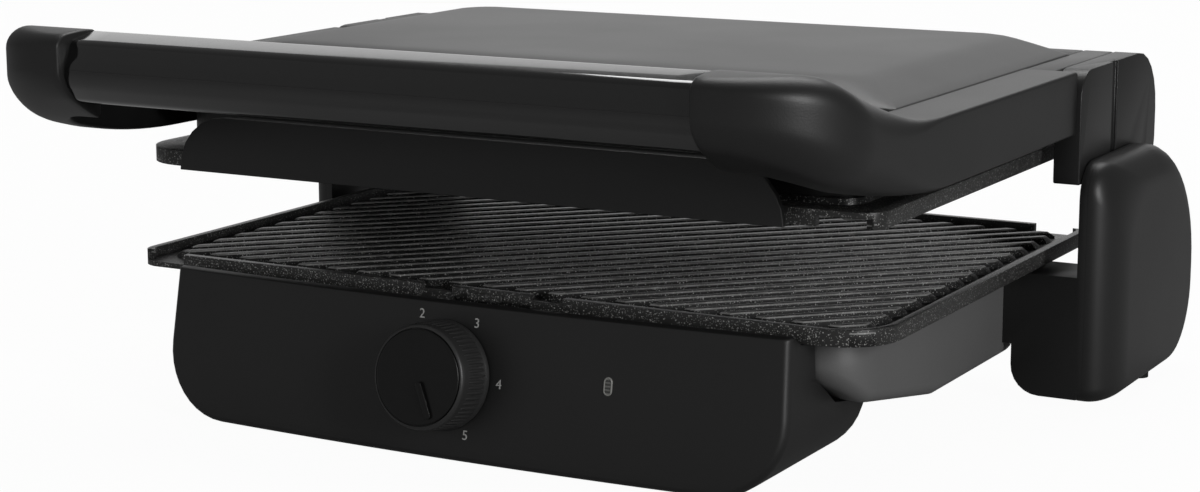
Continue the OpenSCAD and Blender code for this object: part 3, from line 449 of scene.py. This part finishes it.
def grow(tree, start_mesh, material, sizes):
    """Runs a tree on a mesh and gives the result as a plain mesh."""
    holder = bpy.data.objects.new("holder", start_mesh)
    bpy.context.scene.collection.objects.link(holder)
    modifier = holder.modifiers.new("repeat", "NODES")
    modifier.node_group = tree
    for item in tree.interface.items_tree:
        if item.in_out == "INPUT" and item.name in sizes:
            modifier[item.identifier] = float(sizes[item.name])
        if item.name == "Finish":
            modifier[item.identifier] = material
    bpy.context.view_layer.update()
    made = bpy.data.meshes.new_from_object(holder.evaluated_get(bpy.context.evaluated_depsgraph_get()))
    bpy.data.objects.remove(holder)
    return made


finger_ribs, wire = repeat_tree("finger ribs", (
    "Count", "Radius", "Height", "Rib Thick", "Rib Wide", "Rib Long", "Lean"))
circle = wire["Count"].node("GeometryNodeMeshCircle", {"Vertices": wire["Count"], "Radius": wire["Radius"]})
lifted = circle.node("GeometryNodeTransform", {
    "Geometry": circle, "Translation": circle.node("CombineXYZ", {2: wire["Height"]})})
bead = circle.node("GeometryNodeMeshUVSphere", {"Segments": 10, "Rings": 10, "Radius": 1.0})
slim = circle.node("GeometryNodeTransform", {
    "Geometry": bead,
    "Scale": circle.node("CombineXYZ", {0: wire["Rib Thick"], 1: wire["Rib Wide"], 2: wire["Rib Long"]})})
index = circle.node("GeometryNodeInputIndex", {})
turn = index.maths("DIVIDE", index * (2 * math.pi), wire["Count"])
ribs = circle.node("GeometryNodeInstanceOnPoints", {
    "Points": lifted, "Instance": slim,
    "Rotation": circle.node("CombineXYZ", {1: wire["Lean"] * -1.0, 2: turn})})
end_tree(finger_ribs, circle.node("GeometryNodeJoinGeometry", {0: [wire["Mesh"], ribs]}), wire["Finish"])

knob_black = moulded_plastic("satin knob plastic", (0.030, 0.030, 0.030), 0.36, 0.6)
core = skin("knob_core", [knob_ring(*step) for step in KNOB_PROFILE], knob_black, 50)
ribbed = grow(finger_ribs, core.data, knob_black, {
    "Count": 60, "Radius": 0.01842, "Height": 0.0071, "Rib Thick": 0.00045, "Rib Wide": 0.00070,
    "Rib Long": 0.0049, "Lean": math.atan(0.062)})
bpy.data.objects.remove(core)
ribbed.transform(KNOB_PLACE)
stand_for(show("knob_body", ribbed, knob_black, 50), "knob", "knob_plastic", "thermostat_knob")

gloss_face, place, feed = finish("half gloss knob face", Specular_IOR_Level=0.45)
swirl = place.noise(260.0, 4.0)
feed(Base_Color=swirl.blend((0.0025, 0.0025, 0.0025, 1), (0.0045, 0.0045, 0.0045, 1)),
     Roughness=swirl.between(0.3, 0.7, 0.30, 0.34), Normal=swirl.bump(0.000008, 0.2))
face = skin("knob_face", [knob_ring(*step) for step in FACE_PROFILE], gloss_face, 60)
POINTER_CLOCKWISE, POINTER_SPAN = 156, 16.4
pointer_turn = Matrix.Rotation(math.radians(90 - POINTER_CLOCKWISE), 4, "Z")
pointer_rings = []
for half, near, out in ((1.15, 1.6, 15.3), (1.15, 1.6, 16.7), (0.9, 1.9, 16.95), (0.35, 2.5, 17.0)):
    far, r = POINTER_SPAN - near, half * 0.9
    flat = rounded([(near, -half, r), (far, -half, r), (far, half, r), (near, half, r)], 6)
    pointer_rings.append([pointer_turn @ Vector((p.x, p.y, out)) / 1000 for p in flat])
pointer = skin("knob_pointer", pointer_rings, gloss_face, 40)
for piece in (face, pointer):
    piece.data.transform(KNOB_PLACE)
    stand_for(piece, "knob", "knob_face_plastic", "knob_cap")

# ---------------------------------------------------------------- numbers round the knob
# Plain digits printed in pale grey on the panel, from 0 to 5, evenly spaced round the knob.
ink, place, feed = finish("pale printing ink", Specular_IOR_Level=0.3)
film = place.noise(1800.0, 3.0)
feed(Base_Color=film.blend((0.34, 0.34, 0.33, 1), (0.48, 0.48, 0.47, 1)),
     Roughness=film.between(0.3, 0.7, 0.5, 0.62))
DIGIT_RING, DIGIT_TALL, FIRST_DIGIT, DIGIT_STEP = 22.5, 3.3, 214.0, 59.6
FONT_PER_DIGIT, INK_OUT = 1.42, 0.06
digit_mesh = bmesh.new()
for digit in range(6):
    clockwise = FIRST_DIGIT + DIGIT_STEP * digit
    curve = bpy.data.curves.new("digit", "FONT")
    curve.body = str(digit)
    curve.size = DIGIT_TALL * FONT_PER_DIGIT / 1000
    curve.align_x, curve.align_y = "CENTER", "CENTER"
    curve.extrude = INK_OUT / 1000
    text = bpy.data.objects.new("digit", curve)
    bpy.context.scene.collection.objects.link(text)
    bpy.context.view_layer.update()
    mesh = bpy.data.meshes.new_from_object(text.evaluated_get(bpy.context.evaluated_depsgraph_get()))
    a = math.radians(90 - clockwise)
    x, z = KNOB_X + DIGIT_RING * math.cos(a), KNOB_Z + DIGIT_RING * math.sin(a) * math.cos(LEAN)
    origin, slope = on_panel(x, z, INK_OUT), x / BOW
    for vertex in mesh.vertices:
        u, v, out = vertex.co
        vertex.co = origin + Vector((u, u * slope + v * math.sin(LEAN) - out * math.cos(LEAN),
                                     v * math.cos(LEAN) + out * math.sin(LEAN)))
    digit_mesh.from_mesh(mesh)
    bpy.data.objects.remove(text)
    bpy.data.meshes.remove(mesh)
    bpy.data.curves.remove(curve)
printed = bpy.data.meshes.new("dial_numbers")
bmesh.ops.remove_doubles(digit_mesh, verts=digit_mesh.verts, dist=1e-7)
bmesh.ops.recalc_face_normals(digit_mesh, faces=digit_mesh.faces)
digit_mesh.to_mesh(printed)
digit_mesh.free()
numbers = show("dial_numbers", printed, ink)
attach(numbers, "base")

# ---------------------------------------------------------------- pilot light
# A milky window in a pale frame, with a dark lamp cell seen through its fine prisms.
LENS_X, LENS_Z, LENS_WIDE, LENS_TALL = 61.0, 34.1, 1.65, 3.15
WINDOW_PROFILE = [(0, -4), (0, 0.1), (-0.12, 0.38), (-0.35, 0.45), (-0.55, 0.32), (-0.57, 0.12)]
PRISM_PROFILE = [(-0.56, -0.5), (-0.56, 0.16), (-1.1, 0.2)]


def lens_ring(wider, out):
    """Outline of the window, this much wider than its rim, `out` in front of the panel."""
    wide, tall = LENS_WIDE + wider, LENS_TALL + wider
    r = wide - 0.02
    flat = rounded([(-wide, -tall, r), (wide, -tall, r), (wide, tall, r), (-wide, tall, r)], 8)
    base = on_panel(LENS_X, LENS_Z, out)
    return [base + Vector((p.x, p.y * math.sin(LEAN), p.y * math.cos(LEAN))) / 1000 for p in flat]


milk, place, feed = finish("milky window", Specular_IOR_Level=0.5)
haze = place.noise(700.0, 3.0)
feed(Base_Color=haze.blend((0.20, 0.20, 0.19, 1), (0.33, 0.33, 0.31, 1)),
     Roughness=haze.between(0.3, 0.7, 0.3, 0.4), Normal=haze.bump(0.0001, 0.4))
lens = skin("pilot_window", [lens_ring(*step) for step in WINDOW_PROFILE], milk, 50)
prism, place, feed = finish("prisms over the lamp", Specular_IOR_Level=0.5)
weave = (place.along(2) * 5200.0).sine()
feed(Base_Color=weave.between(-1, 1).blend((0.035, 0.035, 0.034, 1), (0.16, 0.16, 0.15, 1)),
     Roughness=place.noise(500.0).between(0.3, 0.7, 0.25, 0.35),
     Normal=weave.bump(0.0001, 0.5))
cell = skin("pilot_prisms", [lens_ring(*step) for step in PRISM_PROFILE], prism, 50)
for piece in (lens, cell):
    stand_for(piece, "base", "lens_plastic", "pilot_lens")

# ---------------------------------------------------------------- hinge blocks, pins and arms
# Nylon blocks slide in the towers and hold ground steel pins. The lid's arms turn on them,
# each a flat moulding with a groove and the dimple of a pin on its outer face.
steel, place, feed = finish("ground steel", Metallic=1.0)
lay = place.noise(1200.0, 5.0)
feed(Base_Color=lay.blend((0.46, 0.46, 0.47, 1), (0.62, 0.62, 0.63, 1)),
     Roughness=lay.between(0.3, 0.7, 0.22, 0.40), Normal=lay.bump(0.00002, 0.5))
nylon = moulded_plastic("natural nylon", (0.62, 0.60, 0.53), 0.45, 0.5)
dress(nylon, "slide_block_left", "slide_block_right")
dress(steel, "hinge_pin_left", "hinge_pin_right", "arm_pins", "thermostat_shaft", "grip_rod")
for side in ("left", "right"):
    arm = soften("hinge_arm_" + side, "lid_arm_" + side, charcoal, 0.8, 3)
    stand_for(arm, "lid", "housing_plastic", "hinge_arm_" + side)

# ---------------------------------------------------------------- lid frame and handle hoop
# One moulding: a rail along each side of the lid that sweeps up in front into the handle's
# rounded end caps, a beam across the front and the back, and a tongue behind each rail.
RAIL_OUT, RAIL_IN = 164.0, 143.0
REACH, GRIP_HALF, CAP_R, CAP_HALF = 74.5, 120.2, 38.0, 11.0
CAP_BEGINS, CAP_RUN = 22, 58
RAIL_STATIONS = (149.9, 120, 90, 60, 40, 28, 20, 14, 8, 2, -4, -10, -16, -22, -28, -33)
SIDE_LOW = [(-REACH, 129.5), (-72.0, 127.8), (-66.0, 123.8), (-58.0, 118.9), (-50.0, 114.9),
            (-40.0, 111.3), (-28.0, 108.2), (-14.0, 105.8), (0.0, 104.4), (16.0, 103.8), (150.0, 103.8)]
SIDE_TOP = [(-REACH, 146.9), (-70.0, 147.5), (-64.0, 148.0), (-58.0, 148.1), (-52.0, 147.2),
            (-46.0, 145.0), (-40.0, 142.5), (-30.0, 138.8), (-20.0, 135.1), (-10.0, 131.7),
            (-3.0, 129.5), (4.0, 127.9), (12.0, 127.2), (24.0, 127.1), (150.0, 127.1)]


def height(line, y):
    """Height of a side outline at y, on a smooth curve through its points."""
    for i in range(len(line) - 1):
        (y0, z0), (y1, z1) = line[i], line[i + 1]
        if y <= y1:
            before, after = line[max(i - 1, 0)], line[min(i + 2, len(line) - 1)]
            t = max(0.0, y - y0) / (y1 - y0)
            m0 = (z1 - before[1]) / (y1 - before[0]) * (y1 - y0)
            m1 = (after[1] - z0) / (after[0] - y0) * (y1 - y0)
            return ((2 * t ** 3 - 3 * t ** 2 + 1) * z0 + (t ** 3 - 2 * t ** 2 + t) * m0
                    + (3 * t ** 2 - 2 * t ** 3) * z1 + (t ** 3 - t ** 2) * m1)
    return line[-1][1]


def hoop_section(side, middle, outward, half, cap, ahead=0.0, shrink=0.0):
    """Closed section: `cap` grows from 0 on the rail to 1 on the cap, `ahead` to 1 at the grip."""
    tall = height(SIDE_TOP, middle.y) - height(SIDE_LOW, middle.y)
    outer_low, outer_top = 1.0 + (12.5 - 5.5 * ahead) * cap, 1.2 + (11.0 - 6.8 * ahead) * cap
    inner_low, inner_top = 1.0 + cap, 1.0 + 1.6 * cap
    box = rounded([(-half, 0, inner_low), (half, 0, outer_low), (half, tall, outer_top),
                   (-half, tall, inner_top)], 9, 4)
    ring = []
    for p in box:
        x = middle.x + outward.x * p.x
        y = middle.y + outward.y * p.x
        low, top = height(SIDE_LOW, y) + shrink, height(SIDE_TOP, y) - shrink
        ring.append(at(side * x, y, low + (top - low) * p.y / tall))
    return ring


def hoop(side):
    """Sections along a rail, round the corner of its cap, and up to the end of the grip."""
    rings = []
    half = (RAIL_OUT - RAIL_IN) / 2
    for y in RAIL_STATIONS:
        cap = min(1.0, max(0.0, (CAP_BEGINS - y) / CAP_RUN))
        rings.append(hoop_section(side, Vector((RAIL_IN + half, y)), Vector((1, 0)), half,
                                  cap * cap * (3 - 2 * cap)))
    centre = Vector((RAIL_OUT - CAP_R, CAP_R - REACH))
    for k in range(19):
        a = math.radians(5 * k)
        outward = Vector((math.cos(a), -math.sin(a)))
        wide = half + (CAP_HALF - half) * k / 18
        rings.append(hoop_section(side, centre + outward * (CAP_R - wide), outward, wide, 1.0, k / 18))
    for past, inset in ((4, 0.0), (0.8, 0.0), (0.2, 0.25), (0, 0.8)):
        rings.append(hoop_section(side, Vector((GRIP_HALF + past, CAP_HALF - REACH)), Vector((0, -1)),
                                  CAP_HALF - inset, 1.0, 1.0, inset))
    return rings


for side, name in ((-1, "left"), (1, "right")):
    piece = skin("hoop_" + name, hoop(side), charcoal, 60)
    stand_for(piece, "lid", "housing_plastic", "lid_frame")

FRONT_BEAM, BACK_BEAM = (-144, 144, 2, 24.4, 112.5, 126.9), (-144, 144, 202.3, 219, 104.0, 127.0)
LEFT_TONGUE, RIGHT_TONGUE = [(*ends, 149.5, 219, 103.9, 127.05)
                             for ends in ((-155.7, -143.2), (143.2, 155.7))]


def bar(bm, x0, x1, y0, y1, z0, z1):
    """One straight member of the frame, added to a mesh that is bevelled as a whole."""
    corner = [bm.verts.new(at(x, y, z)) for x in (x0, x1) for y in (y0, y1) for z in (z0, z1)]
    for face in ((0, 1, 3, 2), (4, 6, 7, 5), (0, 4, 5, 1), (2, 3, 7, 6), (0, 2, 6, 4), (1, 5, 7, 3)):
        bm.faces.new([corner[i] for i in face])


beams = bmesh.new()
for ends in (FRONT_BEAM, BACK_BEAM, LEFT_TONGUE, RIGHT_TONGUE):
    bar(beams, *ends)
bmesh.ops.bevel(beams, geom=beams.edges[:], offset=0.0012, segments=3, affect="EDGES", profile=0.5)
bmesh.ops.recalc_face_normals(beams, faces=beams.faces)
beam_mesh = bpy.data.meshes.new("lid_beams")
beams.to_mesh(beam_mesh)
beams.free()
cross = show("lid_beams", beam_mesh, charcoal)
stand_for(cross, "lid", "housing_plastic", "lid_frame")

# ---------------------------------------------------------------- dome of the lid
# A satin cover sunk between the rails: a narrow rounded edge, a sloping border and a top
# that is all but flat, with one plain finish all over.
DOME_HALF, DOME_FRONT, DOME_BACK = 144.3, 25.5, 201.5
DOME_PROFILE = [(0, 124.7, 3, 0), (0, 126.6, 3, 0), (0.25, 127.2, 3, 0.25), (0.9, 127.6, 3.4, 0.6),
                (6, 129.2, 5, 1.6), (12, 131.1, 7, 2.6), (18, 132.9, 9, 3.6), (21.5, 133.75, 10, 4.4),
                (24.5, 134.15, 11, 5.4), (28, 134.3, 12, 7), (36, 134.42, 13, 14), (60, 134.42, 15, 40),
                (85, 134.42, 2, 85)]


def dome_ring(inset, z, radius, back):
    """Outline of the dome at z, drawn in by `back` behind and by `inset` on the other sides."""
    half, front, rear = DOME_HALF - inset, DOME_FRONT + inset, DOME_BACK - back
    flat = rounded([(-half, front, radius), (half, front, radius), (half, rear, radius),
                    (-half, rear, radius)], 8, 6)
    return [at(p.x, p.y, z) for p in flat]


dome_grey = moulded_plastic("satin dome moulding", (0.034, 0.034, 0.034), 0.40, 0.5)
dome = skin("dome_moulding", [dome_ring(*step) for step in DOME_PROFILE], dome_grey, 50)
stand_for(dome, "lid", "dome_plastic", "dome_cover")

# ---------------------------------------------------------------- tub of the lid and apron
# The upper tub backs the upper plate between the rails. The apron is a dark upright panel
# in front of it, hooked over its edge by a shelf.
lid_tub = soften("upper_tub", "lid_tub", charcoal, 1.0, 2)
stand_for(lid_tub, "lid", "housing_plastic", "upper_tub")
apron_black = moulded_plastic("satin apron plastic", (0.0095, 0.0095, 0.0095), 0.42)
apron = soften("front_apron", "lid_apron", apron_black, 0.9, 3)
stand_for(apron, "lid", "apron_plastic", "front_apron")

# ---------------------------------------------------------------- grip bar
# A glossy black bar between the two caps, over a steel rod. Its top slopes forward, its
# front is rounded and its underside comes back to a thin edge.
gloss, place, feed = finish("gloss black grip", Specular_IOR_Level=0.5, Coat_Weight=1.0, Coat_Roughness=0.04)
ripple = place.noise(14.0, 2.0)
wiped = place.noise(420.0, 5.0)
feed(Base_Color=wiped.blend((0.0025, 0.0025, 0.0025, 1), (0.0045, 0.0045, 0.0045, 1)),
     Roughness=wiped.between(0.3, 0.7, 0.10, 0.16), Normal=ripple.bump(0.0004, 0.25))
GRIP_BACK, GRIP_FRONT, GRIP_LOW, GRIP_TOP = -52.5, -72.0, 123.3, 148.0
GRIP_SLOPE, GRIP_BELLY = 3.0, GRIP_LOW + (GRIP_TOP - GRIP_LOW) * 0.42


def grip_ring(x, inset):
    """Section of the grip: a flat back, a top that slopes forward, a belly and a cut-back foot."""
    back, low, top = GRIP_BACK - inset, GRIP_LOW + inset, GRIP_TOP - inset
    flat = rounded([(back, low, 4), (back, top, 3), (GRIP_FRONT + 4.5, top - GRIP_SLOPE, 5),
                    (GRIP_FRONT - 1.5 + inset, GRIP_BELLY, 10), (GRIP_FRONT + 7, low, 6)], 10)
    return [at(x, p.x, p.y) for p in flat]


GRIP_ENDS = [(GRIP_HALF - 0.8, 0.0), (GRIP_HALF - 0.5, 0.05), (GRIP_HALF - 0.1, 0.4)]
grip = skin("grip_moulding", [grip_ring(-x, inset) for x, inset in reversed(GRIP_ENDS)]
            + [grip_ring(x, 0) for x in range(-110, 111, 20)]
            + [grip_ring(x, inset) for x, inset in GRIP_ENDS], gloss, 50)
stand_for(grip, "lid", "grip_gloss", "grip_bar")

# ---------------------------------------------------------------- pieces inside
# Heating tubes, pressed trays, thermostat, lamp, terminals and fuse are closed in. They keep
# their construction shapes and get their own finishes.
sheath, place, feed = finish("heat-darkened sheath", Metallic=1.0)
scale = place.noise(90.0, 5.0)
feed(Base_Color=scale.blend((0.10, 0.09, 0.08, 1), (0.24, 0.23, 0.21, 1)),
     Roughness=scale.between(0.3, 0.7, 0.45, 0.65), Normal=scale.bump(0.0002, 0.3))
sheet, place, feed = finish("bright pressed sheet", Metallic=1.0)
rolled = place.noise(60.0, 4.0)
feed(Base_Color=rolled.blend((0.72, 0.73, 0.74, 1), (0.84, 0.85, 0.86, 1)),
     Roughness=rolled.between(0.3, 0.7, 0.18, 0.32), Normal=rolled.bump(0.0001, 0.3))
steatite = moulded_plastic("matt ivory ceramic", (0.72, 0.69, 0.60), 0.65, 1.5)
lamp, place, feed = finish("clear lamp glass", Transmission_Weight=1.0, IOR=1.5)
seed = place.noise(300.0, 2.0)
feed(Base_Color=seed.blend((0.90, 0.88, 0.84, 1), (0.97, 0.96, 0.94, 1)),
     Roughness=seed.between(0.3, 0.7, 0.02, 0.06))
dress(sheath, "lower_heating_element", "upper_heating_element")
dress(sheet, "lower_reflector", "upper_reflector")
dress(steatite, "thermostat", "terminal_block")
dress(lamp, "pilot_lamp")
dress(steel, "thermal_fuse", "tower_screws")

# ---------------------------------------------------------------- recessed screws
# Cross-slotted steel screws, two in each row. Those of the lid stand upright, and those of
# the lower plate are turned over and seated in the sloping floor of the tub.
HEAD_WIDE, HEAD_TALL, SHANK_WIDE = 0.0064, 0.0024, 0.003
SLOT_WIDE, SLOT_LONG, SLOT_DEEP = 0.0007, 0.0036, 0.0014
LID_SEAT, LID_SCREW, TUB_FLOOR = 118.5, 19.5, 5.0
recessed, wire = repeat_tree("recessed screws", (
    "Head Wide", "Head Tall", "Shank Wide", "Shank Long", "Slot Wide", "Slot Long", "Slot Deep", "Turn"))
head = wire["Head Wide"].node("GeometryNodeMeshCylinder", {
    "Vertices": 32, "Radius": wire["Head Wide"] * 0.5, "Depth": wire["Head Tall"]})
head = head.node("GeometryNodeTransform", {
    "Geometry": head, "Translation": head.node("CombineXYZ", {2: wire["Head Tall"] * 0.5})})
slots = []
for lengthwise, crosswise in ((0, 1), (1, 0)):
    size = head.node("CombineXYZ", {
        lengthwise: wire["Slot Long"], crosswise: wire["Slot Wide"], 2: wire["Slot Deep"] * 2.0})
    cube = head.node("GeometryNodeMeshCube", {"Size": size})
    slots.append(head.node("GeometryNodeTransform", {
        "Geometry": cube, "Translation": head.node("CombineXYZ", {2: wire["Head Tall"]})}))
head = head.node("GeometryNodeMeshBoolean", {"Mesh 1": head, "Mesh 2": slots}, operation="DIFFERENCE")
shank = head.node("GeometryNodeMeshCylinder", {
    "Vertices": 20, "Radius": wire["Shank Wide"] * 0.5, "Depth": wire["Shank Long"]})
shank = head.node("GeometryNodeTransform", {
    "Geometry": shank, "Translation": head.node("CombineXYZ", {2: wire["Shank Long"] * -0.5})})
screw = head.node("GeometryNodeJoinGeometry", {0: [head, shank]})
screws = head.node("GeometryNodeInstanceOnPoints", {
    "Points": wire["Mesh"], "Instance": screw, "Rotation": head.node("CombineXYZ", {0: wire["Turn"]})})
end_tree(recessed, screws, wire["Finish"])


def row_depth(low, high, end):
    """Depth of the front (0) or the back (1) row of screws in their box."""
    return (low[1] + HEAD_WIDE / 2, high[1] - HEAD_WIDE / 2)[end]


def screw_row(node, end, seat, long, turn):
    """Two screws of a node, in its front or back row, with the underside of the head at a height."""
    low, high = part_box(node)
    y = row_depth(low, high, end)
    seats = bpy.data.meshes.new("seats")
    seats.from_pydata([(x, y, seat / 1000) for x in (low[0] + HEAD_WIDE / 2, high[0] - HEAD_WIDE / 2)],
                      [], [])
    return grow(recessed, seats, steel, {
        "Head Wide": HEAD_WIDE, "Head Tall": HEAD_TALL, "Shank Wide": SHANK_WIDE, "Shank Long": long / 1000,
        "Slot Wide": SLOT_WIDE, "Slot Long": SLOT_LONG, "Slot Deep": SLOT_DEEP, "Turn": turn})


def screw_set(name, body, node, seats):
    """Both rows of a node's screws; seats holds height, length and turn for front and back."""
    both = bmesh.new()
    for end, (seat, long, turn) in enumerate(seats):
        both.from_mesh(screw_row(node, end, seat, long, turn))
    made = bpy.data.meshes.new(name)
    both.to_mesh(made)
    both.free()
    stand_for(show(name, made, steel), body, "screw_steel", node)


screw_set("lid_screw_set", "lid", "lid_screws", [(LID_SEAT, LID_SCREW, 0.0)] * 2)
low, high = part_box("plate_screws")
plate_seats = []
for end in (0, 1):
    seat = under_tub(row_depth(low, high, end) * 1000 + FRONT_TO_MIDDLE) + TUB_FLOOR
    plate_seats.append((seat, high[2] * 1000 - seat, math.pi))
screw_set("plate_screw_set", "base", "plate_screws", plate_seats)

# ---------------------------------------------------------------- studio
# A pale floor that runs into white, a soft lamp on the right, one overhead, a wide low one
# behind and two dim ones in front, one of which no surface mirrors. The camera stands at the
# photograph's place.
FLOOR_HALF, FLOOR_TONE, FLOOR_GLOW, SKY, WHITE = 6, (0.34, 0.34, 0.34, 1), 1.07, 0.12, 1.0
MIRRORED_SHARE, AIM_HEIGHT = 0.04, 0.07


def backdrop(tree, end, lit, white, share):
    """Ends a tree: an eye, or a ray through glass, meets this share of white, a mirror little of it."""
    rays = tree.nodes.new("ShaderNodeLightPath").outputs
    straight = Wire(tree, rays["Is Camera Ray"])
    seen = (straight.maths("MAXIMUM", straight, Wire(tree, rays["Is Transmission Ray"])) * share
            + Wire(tree, rays["Is Glossy Ray"]) * MIRRORED_SHARE)
    mixed = seen.node("MixShader", {0: seen, 1: lit, 2: white})
    tree.links.new(mixed.socket, tree.nodes.new(end).inputs["Surface"])


def empty_tree(owner):
    """Clears the tree of a material or a world; the wire it gives back can add nodes there."""
    owner.use_nodes = True
    owner.node_tree.nodes.clear()
    return Wire(owner.node_tree, None)


floor_mesh = bpy.data.meshes.new("floor")
floor_mesh.from_pydata([(x * FLOOR_HALF, y * FLOOR_HALF, 0) for x, y in ((-1, -1), (1, -1), (1, 1), (-1, 1))],
                       [], [(0, 1, 2, 3)])
floor = bpy.data.objects.new("floor", floor_mesh)
bpy.context.scene.collection.objects.link(floor)
pale = bpy.data.materials.new("pale floor")
blank = empty_tree(pale)
backdrop(pale.node_tree, "ShaderNodeOutputMaterial", blank.node("BsdfDiffuse", {"Color": FLOOR_TONE}),
         blank.node("Emission", {"Strength": FLOOR_GLOW}), 0.90)
floor_mesh.materials.append(pale)

world = bpy.data.worlds.new("studio")
bpy.context.scene.world = world
blank = empty_tree(world)
backdrop(world.node_tree, "ShaderNodeOutputWorld",
         blank.node("Background", {"Color": (1, 1, 1, 1), "Strength": SKY}),
         blank.node("Background", {"Strength": WHITE}), 1.0)


def softbox(name, azimuth, elevation, distance, width, tall, power, mirrored=True):
    """A lamp aimed at the object's middle; azimuth 0 is in front, 90 to the right."""
    lamp_data = bpy.data.lights.new(name, "AREA")
    lamp_data.shape = "RECTANGLE"
    lamp_data.size, lamp_data.size_y = width, tall
    lamp_data.energy = power
    a, e = math.radians(azimuth), math.radians(elevation)
    spot = Vector((math.sin(a) * math.cos(e), -math.cos(a) * math.cos(e), math.sin(e))) * distance
    box = bpy.data.objects.new(name, lamp_data)
    bpy.context.scene.collection.objects.link(box)
    box.location = spot + Vector((0, 0, AIM_HEIGHT))
    box.rotation_euler = spot.to_track_quat("Z", "Y").to_euler()
    box.visible_camera = False
    box.visible_glossy = mirrored


softbox("key_right", 63, 15, 1.9, 0.36, 0.75, 15)
softbox("overhead", 190, 58, 2.0, 1.6, 1.0, 20)
softbox("behind", 206, 15, 2.4, 2.4, 1.3, 6.6)
softbox("fill_left", -35, 24, 2.4, 3.0, 2.2, 0.9)
softbox("fill_front", -20, 4, 2.6, 3.0, 1.6, 18, mirrored=False)

PHOTO_WIDE, PHOTO_TALL, FOCAL_PIXELS, MIDDLE_ROW = 1200, 492, 2537.8172, 227.3949
EYE_AT = (0.4571, -0.8268, 0.2414)
camera = bpy.data.cameras.new("camera")
camera.sensor_width = 36.0
camera.lens = camera.sensor_width * FOCAL_PIXELS / PHOTO_WIDE
camera.shift_y = (MIDDLE_ROW - PHOTO_TALL / 2) / PHOTO_WIDE
camera.clip_end = 50
eye = bpy.data.objects.new("camera", camera)
bpy.context.scene.collection.objects.link(eye)
right = Vector((0.87413633, 0.4856762, -0.00207565))
up = Vector((-0.08757295, 0.1618175, 0.9829273))
back = Vector((0.47772027, -0.85903069, 0.18398266))
eye.matrix_world = Matrix(((right.x, up.x, back.x, EYE_AT[0]), (right.y, up.y, back.y, EYE_AT[1]),
                           (right.z, up.z, back.z, EYE_AT[2]), (0, 0, 0, 1)))
bpy.context.scene.camera = eye
bpy.context.scene.view_settings.view_transform = "Standard"
